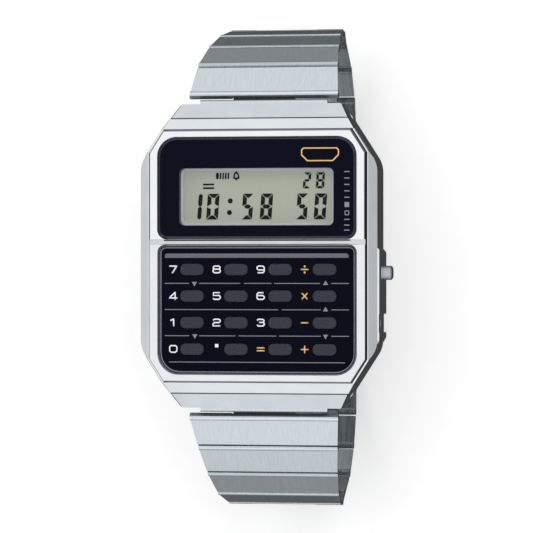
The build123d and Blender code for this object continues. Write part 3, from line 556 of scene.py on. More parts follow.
def buildDisplayGlass(low, high):
    look = displayLook
    # the print stands on the glass, inside the solid's own height
    high = Vector((high.x, high.y, high.z - look["printRoom"]))
    slab = roundedSlab("displayGlass", low, high, look["bottomCorner"], look["topCorner"])
    pickFaces(slab, lambda c, n: n.z > facing)
    insetPicked(look["chamfer"], depth=0)
    # the outer ring of the top drops, which makes the sloped edge
    for vertex in slab.data.vertices:
        c = vertex.co / mm
        if c.z > high.z - near and not insideRounded(c, low, high):
            vertex.co.z -= look["chamfer"] * look["dropShare"] * mm
    x0, y0, x1, y1 = look["opening"]
    room, corner, seat = look["cutRoom"], look["openingCorner"], look["paneSeat"]
    hole = roundedSlab("hole", (x0, y0, low.z - room), (x1, y1, high.z + room), corner, corner, segments=5)
    cutWith(slab, hole)
    shade(slab, angle=25)
    # the sloped edge's lighter grey is a painted reflection on the dark glass
    dress(slab, "case", "dark_glass", darkGlass, glassEdgeReflection)
    setFinishes(slab, slopeHighlight)
    paneTop = high.z - look["paneSink"]
    pane = roundedSlab(
        "displayPane", (x0 - seat, y0 - seat, paneTop - look["paneThick"]), (x1 + seat, y1 + seat, paneTop),
        corner, corner, segments=5)
    applyBevel(pane, look["paneEdge"], segments=1, angle=60)
    shade(pane)
    dress(pane, "case", "dark_glass", clearPane)
    standIn(slab, "display_glass")


def buildGlassGapShade(low, high):
    # painted shade: a dark strip along the glass's lower side, in the gap there
    look = displayLook
    (start, end), (under, top), inset = look["gapShadeRun"], look["gapShadeLevels"], look["gapShadeInset"]
    gapShade = addBox("glassGapShade", (low.x + inset, low.y - start, under), (high.x - inset, low.y - end, top))
    applyBevel(gapShade, look["gapShadeEdge"])
    shade(gapShade)
    dress(gapShade, "case", "black_rubber", blackRubberAndGapShade)


glassLow, glassHigh = [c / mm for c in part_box("display_glass")]
buildDisplayGlass(glassLow, glassHigh)
buildGlassGapShade(glassLow, glassHigh)
keepForm(
    "display_surround", "displayFrame", "case", "bright_steel", surroundSilver, displayLook["surroundEdge"])

segmentLook = {
    "level": 6.2, "thick": 0.03, "slant": 0.07, "stroke": 0.58, "gap": 0.06, "pointShare": 0.42,
    "time": [("1", -8.9, 0.58), ("0", -7.6, 1.95), ("5", -2.50, 1.78), ("8", 0.12, 1.95), ("5", 5.33, 1.8),
             ("0", 7.86, 1.95)],
    "timeLow": 5.15, "timeHigh": 8.80, "colon": [(-4.11, 7.78), (-4.23, 6.14)], "colonRadius": 0.36,
    "day": [("2", 6.30, 1.18), ("8", 8.15, 1.3)],
    "dayLow": 9.5, "dayHigh": 11.78, "dayLean": 0.1, "dayStroke": 0.36,
    # small marks along the top: a row of bars and a bell, and two bars below them
    "row": [(-5.98, 0.42), (-5.53, 0.23), (-5.15, 0.23), (-4.77, 0.23), (-4.39, 0.23)],
    "rowLow": 10.84, "rowHigh": 11.8, "rowLean": (-0.02, 0.03),
    "bell": [((-3.74, 11.0), (-2.74, 11.0)), ((-3.6, 11.0), (-3.46, 11.72)), ((-2.88, 11.0), (-3.02, 11.72)),
             ((-3.54, 11.7), (-2.94, 11.7)), ((-3.24, 11.7), (-3.24, 12.02)), ((-3.42, 10.8), (-3.06, 10.8))],
    "bellStroke": 0.22, "pairLevels": (9.6, 10.12), "pairRun": (-8.1, -6.4), "pairStroke": 0.26,
}
litStrokes = {"0": "abcdef", "1": "bc", "2": "abged", "5": "afgcd", "8": "abcdefg"}


def addStroke(start, end, stroke):
    # one bar of a figure: a thin six-sided plate with pointed ends
    level, thick = segmentLook["level"], segmentLook["thick"]
    dx, dy = end[0] - start[0], end[1] - start[1]
    length = (dx * dx + dy * dy) ** 0.5
    clearSelection()
    bpy.ops.mesh.primitive_cube_add(size=1)
    bar = bpy.context.object
    bar.data.transform(Matrix.Diagonal((length * mm, stroke * mm, thick * mm, 1)))
    pickEdges(bar, lambda a, b: abs(a.z - b.z) > thick / 2)
    bevelPicked(stroke * segmentLook["pointShare"])
    along, across = (dx / length, -dy / length, 0, 0), (dy / length, dx / length, 0, 0)
    turn = Matrix((along, across, (0, 0, 1, 0), (0, 0, 0, 1)))
    middle = ((start[0] + end[0]) / 2 * mm, (start[1] + end[1]) / 2 * mm, (level + thick / 2) * mm)
    bar.data.transform(Matrix.Translation(middle) @ turn)
    return bar


def addPlate(corners):
    # a thin plate through four corners, anticlockwise from the lower left
    level, thick = segmentLook["level"], segmentLook["thick"]
    clearSelection()
    bpy.ops.mesh.primitive_cube_add(size=1)
    plate = bpy.context.object
    for vertex in plate.data.vertices:
        c = vertex.co
        x, y = corners[(0 if c.x < 0 else 1) if c.y < 0 else (3 if c.x < 0 else 2)]
        vertex.co = (x * mm, y * mm, (level + (thick if c.z > 0 else 0)) * mm)
    return plate


def addFigure(digit, x, width, low, high, stroke):
    # seven bars: the outer edges run on, the inner ones are cut at 45 degrees
    half, gap, end = stroke / 2, segmentLook["gap"], x + width
    left, right, middle = x + stroke, end - stroke, (low + high) / 2
    upper, lower, over, under = high - stroke, low + stroke, middle + half + gap, middle - half - gap
    runs = {
        "a": ((left + gap, upper), (right - gap, upper), (end - gap, high), (x + gap, high)),
        "d": ((x + gap, low), (end - gap, low), (right - gap, lower), (left + gap, lower)),
        "f": ((x, middle + gap), (left, over), (left, upper - gap), (x, high - gap)),
        "b": ((right, over), (end, middle + gap), (end, high - gap), (right, upper - gap)),
        "e": ((x, low + gap), (left, lower + gap), (left, under), (x, middle - gap)),
        "c": ((right, lower + gap), (end, low + gap), (end, middle - gap), (right, under)),
    }
    pointed = {"g": ((x + half, middle), (end - half, middle))}
    if digit == "1":
        pointed = {"b": ((x + half, middle), (x + half, high)), "c": ((x + half, low), (x + half, middle))}
    bars = []
    for key in litStrokes[digit]:
        bars.append(addStroke(*pointed[key], stroke) if key in pointed else addPlate(runs[key]))
    figure = joinAll(bars, "figure")
    lean = Matrix.Identity(4)
    lean[0][1] = segmentLook["slant"]
    lean[0][3] = -segmentLook["slant"] * low * mm
    figure.data.transform(lean)
    return figure


def addDot(x, y, radius, level, thick):
    return addCylinder("dot", (x, y, level), radius, thick, sides=24)


def buildDisplayFigures():
    look = segmentLook
    thick, low, high = look["thick"], look["timeLow"], look["timeHigh"]
    slantRun = look["slant"] * (high - low)
    figures = []
    for digit, x, width in look["time"]:
        figures.append(addFigure(digit, x, width - slantRun, low, high, look["stroke"]))
    for x, y in look["colon"]:
        figures.append(addDot(x, y, look["colonRadius"], look["level"] + thick / 2, thick))
    for digit, x, width in look["day"]:
        figures.append(addFigure(
            digit, x, width - look["dayLean"], look["dayLow"], look["dayHigh"], look["dayStroke"]))
    back, forth = look["rowLean"]
    for x, stroke in look["row"]:
        figures.append(addStroke((x + back, look["rowLow"]), (x + forth, look["rowHigh"]), stroke))
    for start, end in look["bell"]:
        figures.append(addStroke(start, end, look["bellStroke"]))
    start, end = look["pairRun"]
    for y in look["pairLevels"]:
        figures.append(addStroke((start, y), (end, y), look["pairStroke"]))
    dress(joinAll(figures, "displayFigures"), "case", "display_grey", segmentDark)


buildDisplayFigures()
print("watch: display done")


# keypad
keypadLook = {
    "topCorner": 1.1, "bottomCorner": 3.1, "chamfer": 0.2, "slotGap": 0.1, "cutRoom": 1,
    "rings": [(0.14, 0), (0.13, -0.1)], "middleReach": 1,
    "ledge": (-13.3, -0.3, 13.08, 0.34), "ledgeLow": 7.45, "ledgeTop": 7.62,
    "ledgeCorner": 0.35, "ledgeEdge": 0.06,
    "keyTop": 8.0, "keyUnder": 6.6, "flange": 0.4, "endRound": 0.72, "crown": 0.2,
}
keyNames = [
    "key_7", "key_8", "key_9", "key_divide", "key_4", "key_5", "key_6", "key_multiply",
    "key_1", "key_2", "key_3", "key_minus", "key_0", "key_point", "key_equals", "key_plus",
]


def keyBlock(name, width, length, low, high, endRound):
    block = addBox(name, (-width / 2, -length / 2, low), (width / 2, length / 2, high))
    pickEdges(block, lambda a, b: abs(a.z - b.z) > near)
    bevelPicked(endRound, segments=6)
    return block


def keyTopBox(node):
    # the middle and size of a key's own top, without the flange under the plate
    low, high = [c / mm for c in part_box(node)]
    flange = 2 * keypadLook["flange"]
    return (low.x + high.x) / 2, (low.y + high.y) / 2, high.x - low.x - flange, high.y - low.y - flange


def buildKeyPlate():
    look = keypadLook
    low, high = [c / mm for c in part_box("key_plate")]
    middle, reach = (low.y + high.y) / 2, look["middleReach"]
    plate = roundedSlab("keyPlate", low, high, look["bottomCorner"], look["topCorner"])
    pickEdges(plate, topEdges(high.z))
    bevelPicked(look["chamfer"])
    for width, depth in look["rings"]:
        pickFaces(plate, lambda c, n: n.z > facing and abs(c.x) < reach and abs(c.y - middle) < reach)
        insetPicked(width, depth)
    cutters = []
    gap, room = look["slotGap"], look["cutRoom"]
    for node in keyNames:
        x, y, width, length = keyTopBox(node)
        cutter = keyBlock(
            "cutter", width + 2 * gap, length + 2 * gap, low.z - room, high.z + room, look["endRound"] + gap)
        cutter.data.transform(Matrix.Translation((x * mm, y * mm, 0)))
        cutters.append(cutter)
    cutWith(plate, joinAll(cutters, "cutters"))
    shade(plate, angle=25)
    # the plate's sloped edges get a lighter grey: painted highlight on the black
    dress(plate, "case", "black_gloss", plateBlack, plateEdgeHighlight)
    setFinishes(plate, slopeHighlight)
    standIn(plate, "key_plate")


def buildLedge():
    # ledge along the panel's top, rounded towards its ends; its grey is a painted highlight on the black
    # panel
    look = keypadLook
    x0, y0, x1, y1 = look["ledge"]
    ledge = addBox("keypadLedge", (x0, y0, look["ledgeLow"]), (x1, y1, look["ledgeTop"]))
    pickEdges(ledge, lambda a, b: min(a.y, b.y) > y1 - near and abs(a.z - b.z) > near)
    bevelPicked(look["ledgeCorner"], segments=3)
    pickEdges(ledge, topEdges(look["ledgeTop"]))
    bevelPicked(look["ledgeEdge"], segments=2)
    shade(ledge, angle=30)
    dress(ledge, "case", "black_gloss", ledgeHighlight)


def buildKeys():
    # one key, modelled once and copied to its sixteen places
    look = keypadLook
    width, length = keyTopBox("key_7")[2:]
    pattern = keyBlock("keyPattern", width, length, look["keyUnder"], look["keyTop"], look["endRound"])
    pickEdges(pattern, topEdges(look["keyTop"]))
    bevelPicked(look["crown"], segments=4)
    shade(pattern, angle=40)
    for node in keyNames:
        x, y = keyTopBox(node)[:2]
        key = addCopy(pattern, "top_" + node)
        key.data.transform(Matrix.Translation((x * mm, y * mm, 0)))
        dress(key, node, "key_grey", keyGrey)
        standIn(key, node)
    bpy.data.objects.remove(pattern, do_unlink=True)


buildKeyPlate()
buildLedge()
buildKeys()
print("watch: keypad done")


# printing
printLook = {
    "plateLevel": 7.5, "glassLevel": 8.2, "thick": 0.012, "cutRoom": 1, "cutShare": 0.45,
    "digitWidth": 1.24, "digitHeight": 1.14, "digitStroke": 0.2, "signStroke": 0.19,
    "rows": [-1.92, -5.675, -9.43, -13.185], "columns": [-12.09, -5.82, 0.50, 6.80],
    "faces": ["789÷", "456×", "123−", "0■=+"],
    "point": (-0.24, 0.25, 0.24, 0.72), "divideDots": (-0.42, 0.42), "dotRadius": 0.14,
    # thin rules between the rows: their level, their runs, and pointers that look down or up
    "rules": [
        (-3.89, [(-13.31, -9.82), (-8.35, -2.44), (-1.89, 2.04), (2.44, 9.01), (10.61, 13.12)],
         [(-9.03, False), (9.79, True)]),
        (-7.60, [(-13.31, 3.01), (3.53, 9.11), (10.61, 13.12)], [(9.78, True)]),
        (-11.31, [(-13.31, -9.79), (-8.35, -3.12), (-2.7, 2.73), (3.15, 9.11), (10.61, 13.12)],
         [(-8.97, False), (9.78, False)]),
        (-15.03, [(-12.72, 12.55)], []),
    ],
    "ruleHalf": 0.05, "pointer": 0.42,
    # plain gold border above the display, and plain marks at its right
    "border": (6.41, 13.28, 11.81, 15.21), "borderLine": 0.16, "borderCorners": (0.85, 0.3),
    "markRun": (12.55, 13.3), "markHalf": 0.07, "markLevels": [11.8, 10.9, 10.0, 9.1, 8.2, 5.1, 4.3, 3.6],
    "square": (12.6, 6.83, 13.25, 7.53),
    "ring": (12.6, 5.68, 13.25, 6.36), "ringLine": 0.12, "ringCorner": 0.14,
}
squareFigures = {
    # strokes of plain extended figures, in a box one wide and one high
    "0": [[(0.2, 0), (0.8, 0), (1, 0.2), (1, 0.8), (0.8, 1), (0.2, 1), (0, 0.8), (0, 0.2), (0.2, 0)]],
    "1": [[(0.1, 0.78), (0.55, 1)], [(0.55, 1.08), (0.55, -0.08)]],
    "2": [[(0, 0.82), (0.18, 1), (0.82, 1), (1, 0.84), (1, 0.66), (0.82, 0.5), (0.2, 0.5), (0, 0.32), (0, 0),
           (1, 0)]],
    "3": [[(0, 0.84), (0.18, 1), (0.8, 1), (0.96, 0.86), (0.96, 0.66), (0.82, 0.54), (0.3, 0.54)],
          [(0.82, 0.54), (1, 0.4), (1, 0.18), (0.82, 0), (0.18, 0), (0, 0.16)]],
    "4": [[(0.76, -0.1), (0.76, 1.1)], [(0.74, 1.02), (0.0, 0.26)], [(-0.08, 0.2), (1.08, 0.2)]],
    "5": [[(0.95, 1), (0.06, 1), (0.03, 0.58), (0.82, 0.58), (1, 0.42), (1, 0.17), (0.82, 0), (0.18, 0),
           (0, 0.14)]],
    "6": [[(0.92, 1), (0.2, 1), (0, 0.8), (0, 0.2), (0.2, 0), (0.8, 0), (1, 0.18), (1, 0.4), (0.8, 0.58),
           (0.03, 0.58)]],
    "7": [[(-0.06, 1), (1.04, 1)], [(0.96, 1.0), (0.36, -0.08)]],
    "8": [[(0.2, 0.54), (0.8, 0.54), (0.96, 0.66), (0.96, 0.86), (0.8, 1), (0.2, 1), (0.04, 0.86),
           (0.04, 0.66), (0.2, 0.54)],
          [(0.2, 0.54), (0, 0.4), (0, 0.17), (0.2, 0), (0.8, 0), (1, 0.17), (1, 0.4), (0.8, 0.54)]],
    "9": [[(0.97, 0.42), (0.2, 0.42), (0, 0.6), (0, 0.82), (0.2, 1), (0.8, 1), (1, 0.8), (1, 0.2), (0.8, 0),
           (0.08, 0)]],
}
signRuns = {
    "÷": [[(-0.56, 0), (0.56, 0)]],
    "×": [[(-0.4, -0.42), (0.4, 0.42)], [(-0.4, 0.42), (0.4, -0.42)]],
    "−": [[(-0.54, 0), (0.54, 0)]],
    "+": [[(-0.54, 0), (0.54, 0)], [(0, -0.54), (0, 0.54)]],
    "=": [[(-0.56, 0.2), (0.56, 0.2)], [(-0.56, -0.2), (0.56, -0.2)]],
}


def printStroke(points, width, level):
    # a flat printed line of even width, along points in millimetres
    line = bpy.data.curves.new("line", "CURVE")
    line.dimensions = "3D"
    line.fill_mode = "FULL"
    run = line.splines.new("POLY")
    run.points.add(len(points) - 1)
    for point, (x, y) in zip(run.points, points):
        point.co = (x * mm, y * mm, 0, 1)
    line.bevel_depth = width / 2 * mm
    line.bevel_resolution = 2
    line.use_fill_caps = True
    piece = bpy.data.objects.new("line", line)
    bpy.context.scene.collection.objects.link(piece)
    useOnly(piece)
    bpy.ops.object.convert(target="MESH")
    piece = bpy.context.object
    bpy.ops.object.mode_set(mode="EDIT")
    bpy.ops.mesh.select_all(action="SELECT")
    bpy.ops.mesh.remove_doubles(threshold=0.0000001)
    bpy.ops.mesh.normals_make_consistent(inside=False)
    bpy.ops.object.mode_set(mode="OBJECT")
    flatten = Matrix.Diagonal((1, 1, 2 * printLook["thick"] / width, 1))
    piece.data.transform(Matrix.Translation((0, 0, level * mm)) @ flatten)
    return piece


def printFigure(sign, x, y):
    stroke = printLook["digitStroke"]
    w, h = printLook["digitWidth"] - stroke, printLook["digitHeight"] - stroke
    strokes = []
    for points in squareFigures[sign]:
        run = [(x - w / 2 + a * w, y - h / 2 + b * h) for a, b in points]
        strokes.append(printStroke(run, stroke, printLook["plateLevel"]))
    return strokes


def printBar(x0, y0, x1, y1, level):
    return addBox("bar", (x0, y0, level - printLook["thick"]), (x1, y1, level + printLook["thick"]))


def printTriangle(x, y, up, level):
    size, thick = printLook["pointer"], 2 * printLook["thick"]
    return addCylinder("triangle", (x, y, level), size, thick, sides=3, turn=(0, 0, 0 if up else pi))


def printOutline(x0, y0, x1, y1, level, line, lowCorner, highCorner, segments=4):
    # a plain border: a plate with its corners cut and its middle cut out
    thick, room, less = printLook["thick"], printLook["cutRoom"], line * printLook["cutShare"]
    plate = roundedSlab(
        "border", (x0, y0, level - thick), (x1, y1, level + thick), lowCorner, highCorner, segments)
    cutWith(plate, roundedSlab(
        "hole", (x0 + line, y0 + line, level - room), (x1 - line, y1 - line, level + room),
        lowCorner - less, highCorner - less, segments))
    return plate


def printSign(sign, x, y):
    # an operation's sign, in gold, beside its key
    look = printLook
    level = look["plateLevel"]
    parts = []
    for points in signRuns[sign]:
        parts.append(printStroke([(x + a, y + b) for a, b in points], look["signStroke"], level))
    if sign == "÷":
        parts += [addDot(x, y + b, look["dotRadius"], level, 2 * look["thick"]) for b in look["divideDots"]]
    return parts


def buildPrinting():
    look = printLook
    level, half = look["plateLevel"], look["ruleHalf"]
    white, gold, rules = [], [], []
    for y, row in zip(look["rows"], look["faces"]):
        for x, sign in zip(look["columns"], row):
            if sign == "■":
                x0, y0, x1, y1 = look["point"]
                white.append(printBar(x + x0, y + y0, x + x1, y + y1, level))
            elif sign in signRuns:
                gold += printSign(sign, x, y)
            else:
                white += printFigure(sign, x, y)
    dress(joinAll(white, "keyNumbers"), "case", "black_gloss", printWhite)
    for y, runs, pointers in look["rules"]:
        rules += [printBar(a, y - half, b, y + half, level) for a, b in runs]
        rules += [printTriangle(x, y, up, level) for x, up in pointers]
    dress(joinAll(rules, "keyRules"), "case", "black_gloss", printGrey)
    top = look["glassLevel"] - look["thick"]
    gold.append(printOutline(*look["border"], top, look["borderLine"], *look["borderCorners"], 1))
    dress(joinAll(gold, "goldMarks"), "case", "dark_glass", printGold)
    (start, end), half, corner = look["markRun"], look["markHalf"], look["ringCorner"]
    marks = [printBar(start, y - half, end, y + half, top) for y in look["markLevels"]]
    marks.append(printBar(*look["square"], top))
    marks.append(printOutline(*look["ring"], top, look["ringLine"], corner, corner))
    dress(joinAll(marks, "glassMarks"), "case", "dark_glass", printGrey)


buildPrinting()
print("watch: printing done")


# bracelet
linkLook = {
    "pitch": 5.5, "startWidth": 21.5, "endWidth": 14.3, "taperLinks": 6, "farFrom": 3, "overlap": 0.01,
    # rolled edge on the case side, with its lip, and the room for the neighbour's tongue
    "roll": 0.58, "farRoll": 0.48, "farKnuckle": 0.56, "skin": 0.001, "rollSides": 48, "blockUnder": -0.02,
    "wallUnder": -0.06, "crestUnder": 0.43, "lip": -0.29, "lipSheet": 0.15, "lipEdge": 0.12,
    "slotGap": 0.15, "slotRoom": 0.06,
    # outer sheet, the thicker plate under it, and the bridge from the sheet to the rolled edge
    "sheetUnder": 0.44, "plateTop": 0.52, "plateStart": -0.16, "plateEnd": 4.77, "edge": 0.07,
    "plateUnder": 0.07, "underInset": 0.03, "underSink": 0.02,
    "bridgeInset": 0.06, "bridgeReach": 0.1, "bridgeDrop": 0.03, "bridgeRise": 0.01,
    # tongue with its barrel, and the link's own pin
    "tongueHalf": 4.5, "tongueSheet": 0.26, "tongueRoot": 1.2, "tongueRamp": 0.6, "tongueSink": 0.2,
    "knuckle": 0.36, "barrelSides": 20, "bore": 0.23, "boreRoom": 1,
    "pin": 0.2, "pinSides": 16, "pinSeat": 0.4,
    # inner fold on the wrist side
    "foldHalf": 4.3, "foldStart": -0.02, "foldEnd": 3.02, "foldSheet": 0.2, "foldEdge": 0.1,
    "riserFoot": 0.05,
    # where the finishes change, by place and by parts of a face's normal
    "rollRoom": 0.05, "endTurn": 0.5, "outerTurn": -0.6, "outerSlope": 0.1, "bridgeNear": 0.004,
    "wristSlope": -0.5, "jointUnder": -0.05,
}
slotHalf = linkLook["tongueHalf"] + linkLook["slotGap"]
slotRadius = linkLook["knuckle"] + linkLook["slotRoom"]


def bandWidth(number):
    look = linkLook
    step = (look["startWidth"] - look["endWidth"]) / look["taperLinks"]
    return max(look["endWidth"], look["startWidth"] - step * number)


def addRolledEdge(half, isFar):
    look = linkLook
    skin, lip, low = look["skin"], look["lip"], look["crestUnder"]
    roll = look["farRoll"] if isFar else look["roll"]
    radius = look["farKnuckle"] if isFar else roll - skin
    blocks, knuckles = [], []
    for end in (-1, 1):
        # folded edge each side of the slot, over a round knuckle
        inner, outer = sorted((end * (slotHalf - look["overlap"]), end * half))
        blocks.append(addBox("block", (inner, -roll, look["blockUnder"]), (outer, lip, roll)))
        middle = (end * (half + slotHalf) / 2, 0, 0)
        knuckles.append(addRod("knuckle", middle, radius, half - skin - slotHalf, look["rollSides"]))
    # between them only the outer wall of the fold, open towards the wrist for the neighbour's tongue
    wall = addBox("wall", (-slotHalf, -roll, look["wallUnder"]), (slotHalf, -slotRadius, look["sheetUnder"]))
    lipStrip = addBox("lip", (-slotHalf, -roll, roll - look["lipSheet"]), (slotHalf, lip, roll))
    crest = addRod("crest", (0, 0, 0), roll - skin, 2 * slotHalf, look["rollSides"])
    reach = (roll ** 2 - low ** 2) ** 0.5
    for vertex in crest.data.vertices:
        if vertex.co.z < low * mm:
            vertex.co.z = low * mm
            vertex.co.y = max(-reach, min(reach, vertex.co.y / mm)) * mm
    for piece in (*blocks, lipStrip):
        pickEdges(piece, lambda a, b: min(a.z, b.z) > roll - near and abs(a.y - b.y) < near)
        bevelPicked(look["lipEdge"], segments=3)
    return [*blocks, *knuckles, wall, lipStrip, crest]


def addPlates(half, slope):
    # all three are narrower towards the link's far end
    look = linkLook
    sheet, far, inset = look["sheetUnder"], look["plateEnd"], look["underInset"]
    bridgeHalf = half - look["bridgeInset"]
    outer = addBox("sheet", (-half, look["plateStart"], sheet), (half, far, look["plateTop"]))
    under = addBox(
        "under", (-half + inset, slotRadius + inset, look["plateUnder"]),
        (half - inset, far - inset, sheet + look["underSink"]))
    bridge = addBox(
        "bridge", (-bridgeHalf, -slotRadius, sheet - look["bridgeDrop"]),
        (bridgeHalf, slotRadius + look["bridgeReach"], sheet + look["bridgeRise"]))
    for piece in (outer, under, bridge):
        for vertex in piece.data.vertices:
            vertex.co.x -= (1 if vertex.co.x > 0 else -1) * slope * max(vertex.co.y, 0)
    pickEdges(outer, topEdges(look["plateTop"]))
    bevelPicked(look["edge"], segments=3)
    return [outer, under, bridge]


def addTongue():
    # a strip under the plate that wraps the next link's pin, and the link's own pin
    look = linkLook
    half, knuckle, run, far = look["tongueHalf"], look["knuckle"], look["pitch"], look["plateEnd"]
    root = far - look["tongueRoot"]
    tongue = addBox("tongue", (-half, root, -knuckle), (half, far, look["tongueSheet"] - knuckle))
    pickFaces(tongue, lambda c, n: n.y > facing)
    extrudePicked((0, run - far, 0))
    pickFaces(tongue, lambda c, n: n.z > facing and c.y < far)
    extrudePicked((0, 0, look["plateUnder"] + look["tongueSink"] + knuckle - look["tongueSheet"]))
    for vertex in tongue.data.vertices:
        c = vertex.co / mm
        if c.y < root + near and c.z < near - knuckle:
            vertex.co.y += look["tongueRamp"] * mm
    barrel = addRod("barrel", (0, run, 0), knuckle, 2 * half, look["barrelSides"])
    cutWith(barrel, addRod("bore", (0, run, 0), look["bore"], 2 * half + look["boreRoom"], look["pinSides"]))
    pin = addRod("pin", (0, 0, 0), look["pin"], 2 * slotHalf + look["pinSeat"], look["pinSides"])
    return [tongue, barrel, pin]


def addFold():
    # inner fold that closes the link on the wrist side
    look = linkLook
    half, end, sheet, floor = look["foldHalf"], look["foldEnd"], look["foldSheet"], -look["roll"]
    fold = addBox("fold", (-half, slotRadius + look["foldStart"], floor), (half, end, floor + sheet))
    riser = addBox("riser", (-half, end - sheet, floor + look["riserFoot"]), (half, end, look["plateUnder"]))
    pickEdges(fold, lambda a, b: min(a.y, b.y) > end - near and max(a.z, b.z) < floor + near)
    bevelPicked(look["foldEdge"], segments=3)
    return [fold, riser]


def linkFinish(middle, normal):
    # 1 and 3 on the rolled edge and its outer side, 2 on the wrist side and in the joint, 0 on the sheet; 3
    # is painted shade
    look = linkLook
    if middle.y < look["lip"] + look["rollRoom"] and abs(normal.x) < look["endTurn"]:
        return 3 if normal.y < look["outerTurn"] or normal.z < look["outerSlope"] else 1
    # the bridge's top is the groove floor, where finish 2 is painted shade
    offBridge = abs(middle.z - look["sheetUnder"] - look["bridgeRise"])
    onBridge = offBridge < look["bridgeNear"] and normal.z > facing
    return 2 if normal.z < look["wristSlope"] or middle.z < look["jointUnder"] or onBridge else 0


def modelLink(width, endWidth):
    # made lying flat, its pivot at the origin: x across, y along the band, z outwards
    isFirst, isFar = width > bandWidth(0) - near, width < bandWidth(linkLook["farFrom"]) - near
    slope = (width - endWidth) / 2 / linkLook["pitch"]
    parts = addRolledEdge(width / 2, isFar) + addPlates(width / 2, slope) + addTongue() + addFold()
    link = joinAll(parts, "link")
    # the last finish, on the rolled edge's outer side, is darker steel as painted shade, darker still on the
    # first link beside the case
    for finish in (bandSteel, edgeSteel, innerSteelGrooveShade, foldShadow if isFirst else foldShadeSteel):
        link.data.materials.append(finish)
    setFinishes(link, linkFinish)
    return link


def linkPlace(side, pivot, tilt):
    # stands a flat link at its pivot: side 1 is the upper half of the band
    across = Vector((side, 0, 0))
    along = Vector((0, side * cos(tilt), -sin(tilt)))
    outward = Vector((0, side * sin(tilt), cos(tilt)))
    turn = Matrix((across, along, outward)).transposed().to_4x4()
    return Matrix.Translation(pivot) @ turn


def buildBracelet():
    patterns = {}
    for half, side in (("upper", 1), ("lower", -1)):
        tilt = 0
        hinges = [j for j in frame["joints"] if j["child"].startswith(half + "_link_")]
        for number, hinge in enumerate(hinges):
            tilt += hinge["range_deg"][1]
            widths = tuple(round(bandWidth(n), 4) for n in (number, number + 1))
            if widths not in patterns:
                patterns[widths] = modelLink(*widths)
            link = addCopy(patterns[widths], "band_" + hinge["child"])
            shade(link)
            link.data.transform(linkPlace(side, Vector(hinge["pos_m"]), radians(tilt)))
            link.data.update()
            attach(link, hinge["child"])
            standIn(link, hinge["child"])
    for source in patterns.values():
        bpy.data.objects.remove(source, do_unlink=True)


buildBracelet()
claspLook = {"endPieceEdge": 0.05, "claspEdge": 0.08}
for node, name in (("end_piece_upper", "endPieceUpper"), ("end_piece_lower", "endPieceLower")):
    keepForm(node, name, "case", "band_steel", endSteel, claspLook["endPieceEdge"])
for node, name in (("clasp_blade", "claspBlade"), ("clasp_cover", "claspCover"), ("clasp_lock", "claspLock")):
    keepForm(node, name, node, "band_steel", claspSteel, claspLook["claspEdge"], segments=3)
print("watch: bracelet and clasp done")


# buttons, back and module
backLook = {"buttonEdge": 0.06, "coverEdge": 0.05, "screwEdge": 0.04}
for node, name in (("mode_button", "modeButton"), ("adjust_button", "adjustButton")):
    keepForm(node, name, node, "bright_steel", buttonSteel, backLook["buttonEdge"], segments=3)
keepForm("back_cover", "backPlate", "case", "brushed_back", backSteel, backLook["coverEdge"])
keepForm("back_screws", "backScrews", "case", "bright_steel", smallSteel, backLook["screwEdge"])
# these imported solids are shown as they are
for node, finish in (
        ("display_panel", displayGrey), ("key_mat", greyRubber), ("module_frame", darkMoulding),
        ("circuit_board", boardGreen), ("connector_strips", greyRubber), ("battery", cellSteel),
        ("battery_clip", smallSteel), ("sounder_disc", brassSheet), ("back_gasket", blackRubberAndGapShade)):
    giveFinish(node, finish)
print("watch: buttons, back and module done")


# stage, light and camera
stageLook = {
    "floorLevel": -38.43, "floorSize": 3.0, "floorGrain": 400, "floorLift": 0.3,
    "floorDark": (0.9, 0.9, 0.9, 1), "floorLight": (0.93, 0.93, 0.93, 1),
    "lampPlace": (50, 120, 500), "lampPower": 1.1, "lampSize": 0.5, "roomLevel": 0.66, "roomCool": 1.01,
    # the room in the metal, from straight down at 0 to straight up at 1, and its falls to each side
    "roomSteps": [(0.0, 0.05), (0.117, 0.13), (0.25, 0.3), (0.32, 0.25), (0.4, 0.42), (0.5, 0.72),
                  (0.621, 0.79), (0.687, 0.85), (0.919, 1.0)],
    "sideFalls": [(0.25, 0.55, 0.53), (-0.25, -0.55, 0.76)],
    "cameraPlace": (87.988, -1.507, 474.98), "cameraAim": (1.426, -1.507, 7.936), "lens": 227.8,
    "sensor": 36, "clip": (0.01, 20),
}
plainWhite = (1, 1, 1, 1)


def cameraSees(tree):
    # 1 on what the camera sees, through glass too, and 0 on what lights or mirrors
    path = addNode(tree, "LightPath", {}).outputs
    either = {0: path["Is Camera Ray"], 1: path["Is Transmission Ray"]}
    return addNode(tree, "Math", either, operation="MAXIMUM").outputs[0]


def buildFloor():
    look = stageLook
    clearSelection()
    bpy.ops.mesh.primitive_plane_add(size=look["floorSize"], location=(0, 0, look["floorLevel"] * mm))
    floor = bpy.context.object
    floor.name = "floor"
    made, tree, shader = startMaterial("paleFloor")
    grain = useEffect(tree, speckle, Scale=look["floorGrain"])
    share = spread(tree, grain["Grain"], 0, 1)
    lift = addNode(tree, "Math", {0: cameraSees(tree), 1: look["floorLift"]}, operation="MULTIPLY")
    feed(tree, shader, {
        "Base Color": mixColours(tree, share, look["floorDark"], look["floorLight"]), "Roughness": 0.9,
        "Specular IOR Level": 0, "Emission Color": plainWhite, "Emission Strength": lift.outputs[0]})
    floor.data.materials.append(made)
    floor.visible_glossy = False


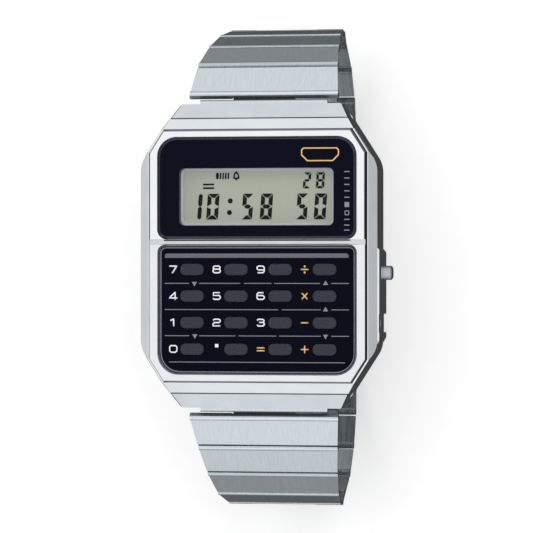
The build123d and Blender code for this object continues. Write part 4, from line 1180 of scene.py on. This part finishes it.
def buildRoom():
    # white to the camera; in the metal, a pale room that darkens towards the floor and the sides
    world = bpy.data.worlds.new("room")
    bpy.context.scene.world = world
    world.use_nodes = True
    tree = world.node_tree
    way = addNode(tree, "TexCoord", {})
    split = addNode(tree, "SeparateXYZ", {0: way.outputs["Generated"]})
    height = addNode(tree, "MapRange", {"From Min": -1, "Value": split.outputs["Z"]})
    ramp = addNode(tree, "ValToRGB", {"Fac": height.outputs["Result"]})
    steps = stageLook["roomSteps"]
    while len(ramp.color_ramp.elements) < len(steps):
        ramp.color_ramp.elements.new(0.5)
    for element, (place, level) in zip(ramp.color_ramp.elements, steps):
        element.position = place
        element.color = (level, level, level * stageLook["roomCool"], 1)
    shine = ramp.outputs["Color"]
    for start, end, least in stageLook["sideFalls"]:
        fall = addNode(tree, "MapRange", {
            "From Min": start, "From Max": end, "To Min": 1, "To Max": least, "Value": split.outputs["X"]})
        weaker = addNode(tree, "VectorMath", {}, operation="SCALE")
        feed(tree, weaker, {0: shine, "Scale": fall.outputs["Result"]})
        shine = weaker.outputs[0]
    glossy = addNode(tree, "LightPath", {}).outputs["Is Glossy Ray"]
    level = stageLook["roomLevel"]
    metal = mixColours(tree, glossy, (level, level, level, 1), shine)
    shown = mixColours(tree, cameraSees(tree), metal, plainWhite)
    feed(tree, tree.nodes["Background"], {"Strength": 1, "Color": shown})


def buildLamp():
    clearSelection()
    bpy.ops.object.light_add(type="AREA", location=Vector(stageLook["lampPlace"]) * mm)
    lamp = bpy.context.object
    lamp.data.size = stageLook["lampSize"]
    lamp.data.energy = stageLook["lampPower"]
    lamp.rotation_euler = (-lamp.location).to_track_quat("-Z", "Y").to_euler()
    lamp.visible_glossy = False


def buildCamera():
    clearSelection()
    place = Vector(stageLook["cameraPlace"]) * mm
    aim = Vector(stageLook["cameraAim"]) * mm
    bpy.ops.object.camera_add(location=place)
    camera = bpy.context.object
    # twelve o'clock is up in the picture
    back = (place - aim).normalized()
    right = Vector((0, 1, 0)).cross(back).normalized()
    up = back.cross(right)
    camera.rotation_euler = Matrix((right, up, back)).transposed().to_euler()
    camera.data.lens = stageLook["lens"]
    camera.data.sensor_width = stageLook["sensor"]
    camera.data.clip_start, camera.data.clip_end = stageLook["clip"]
    bpy.context.scene.camera = camera


buildFloor()
buildRoom()
buildLamp()
buildCamera()
bpy.context.scene.view_settings.view_transform = "Standard"
print("watch: stage ready")
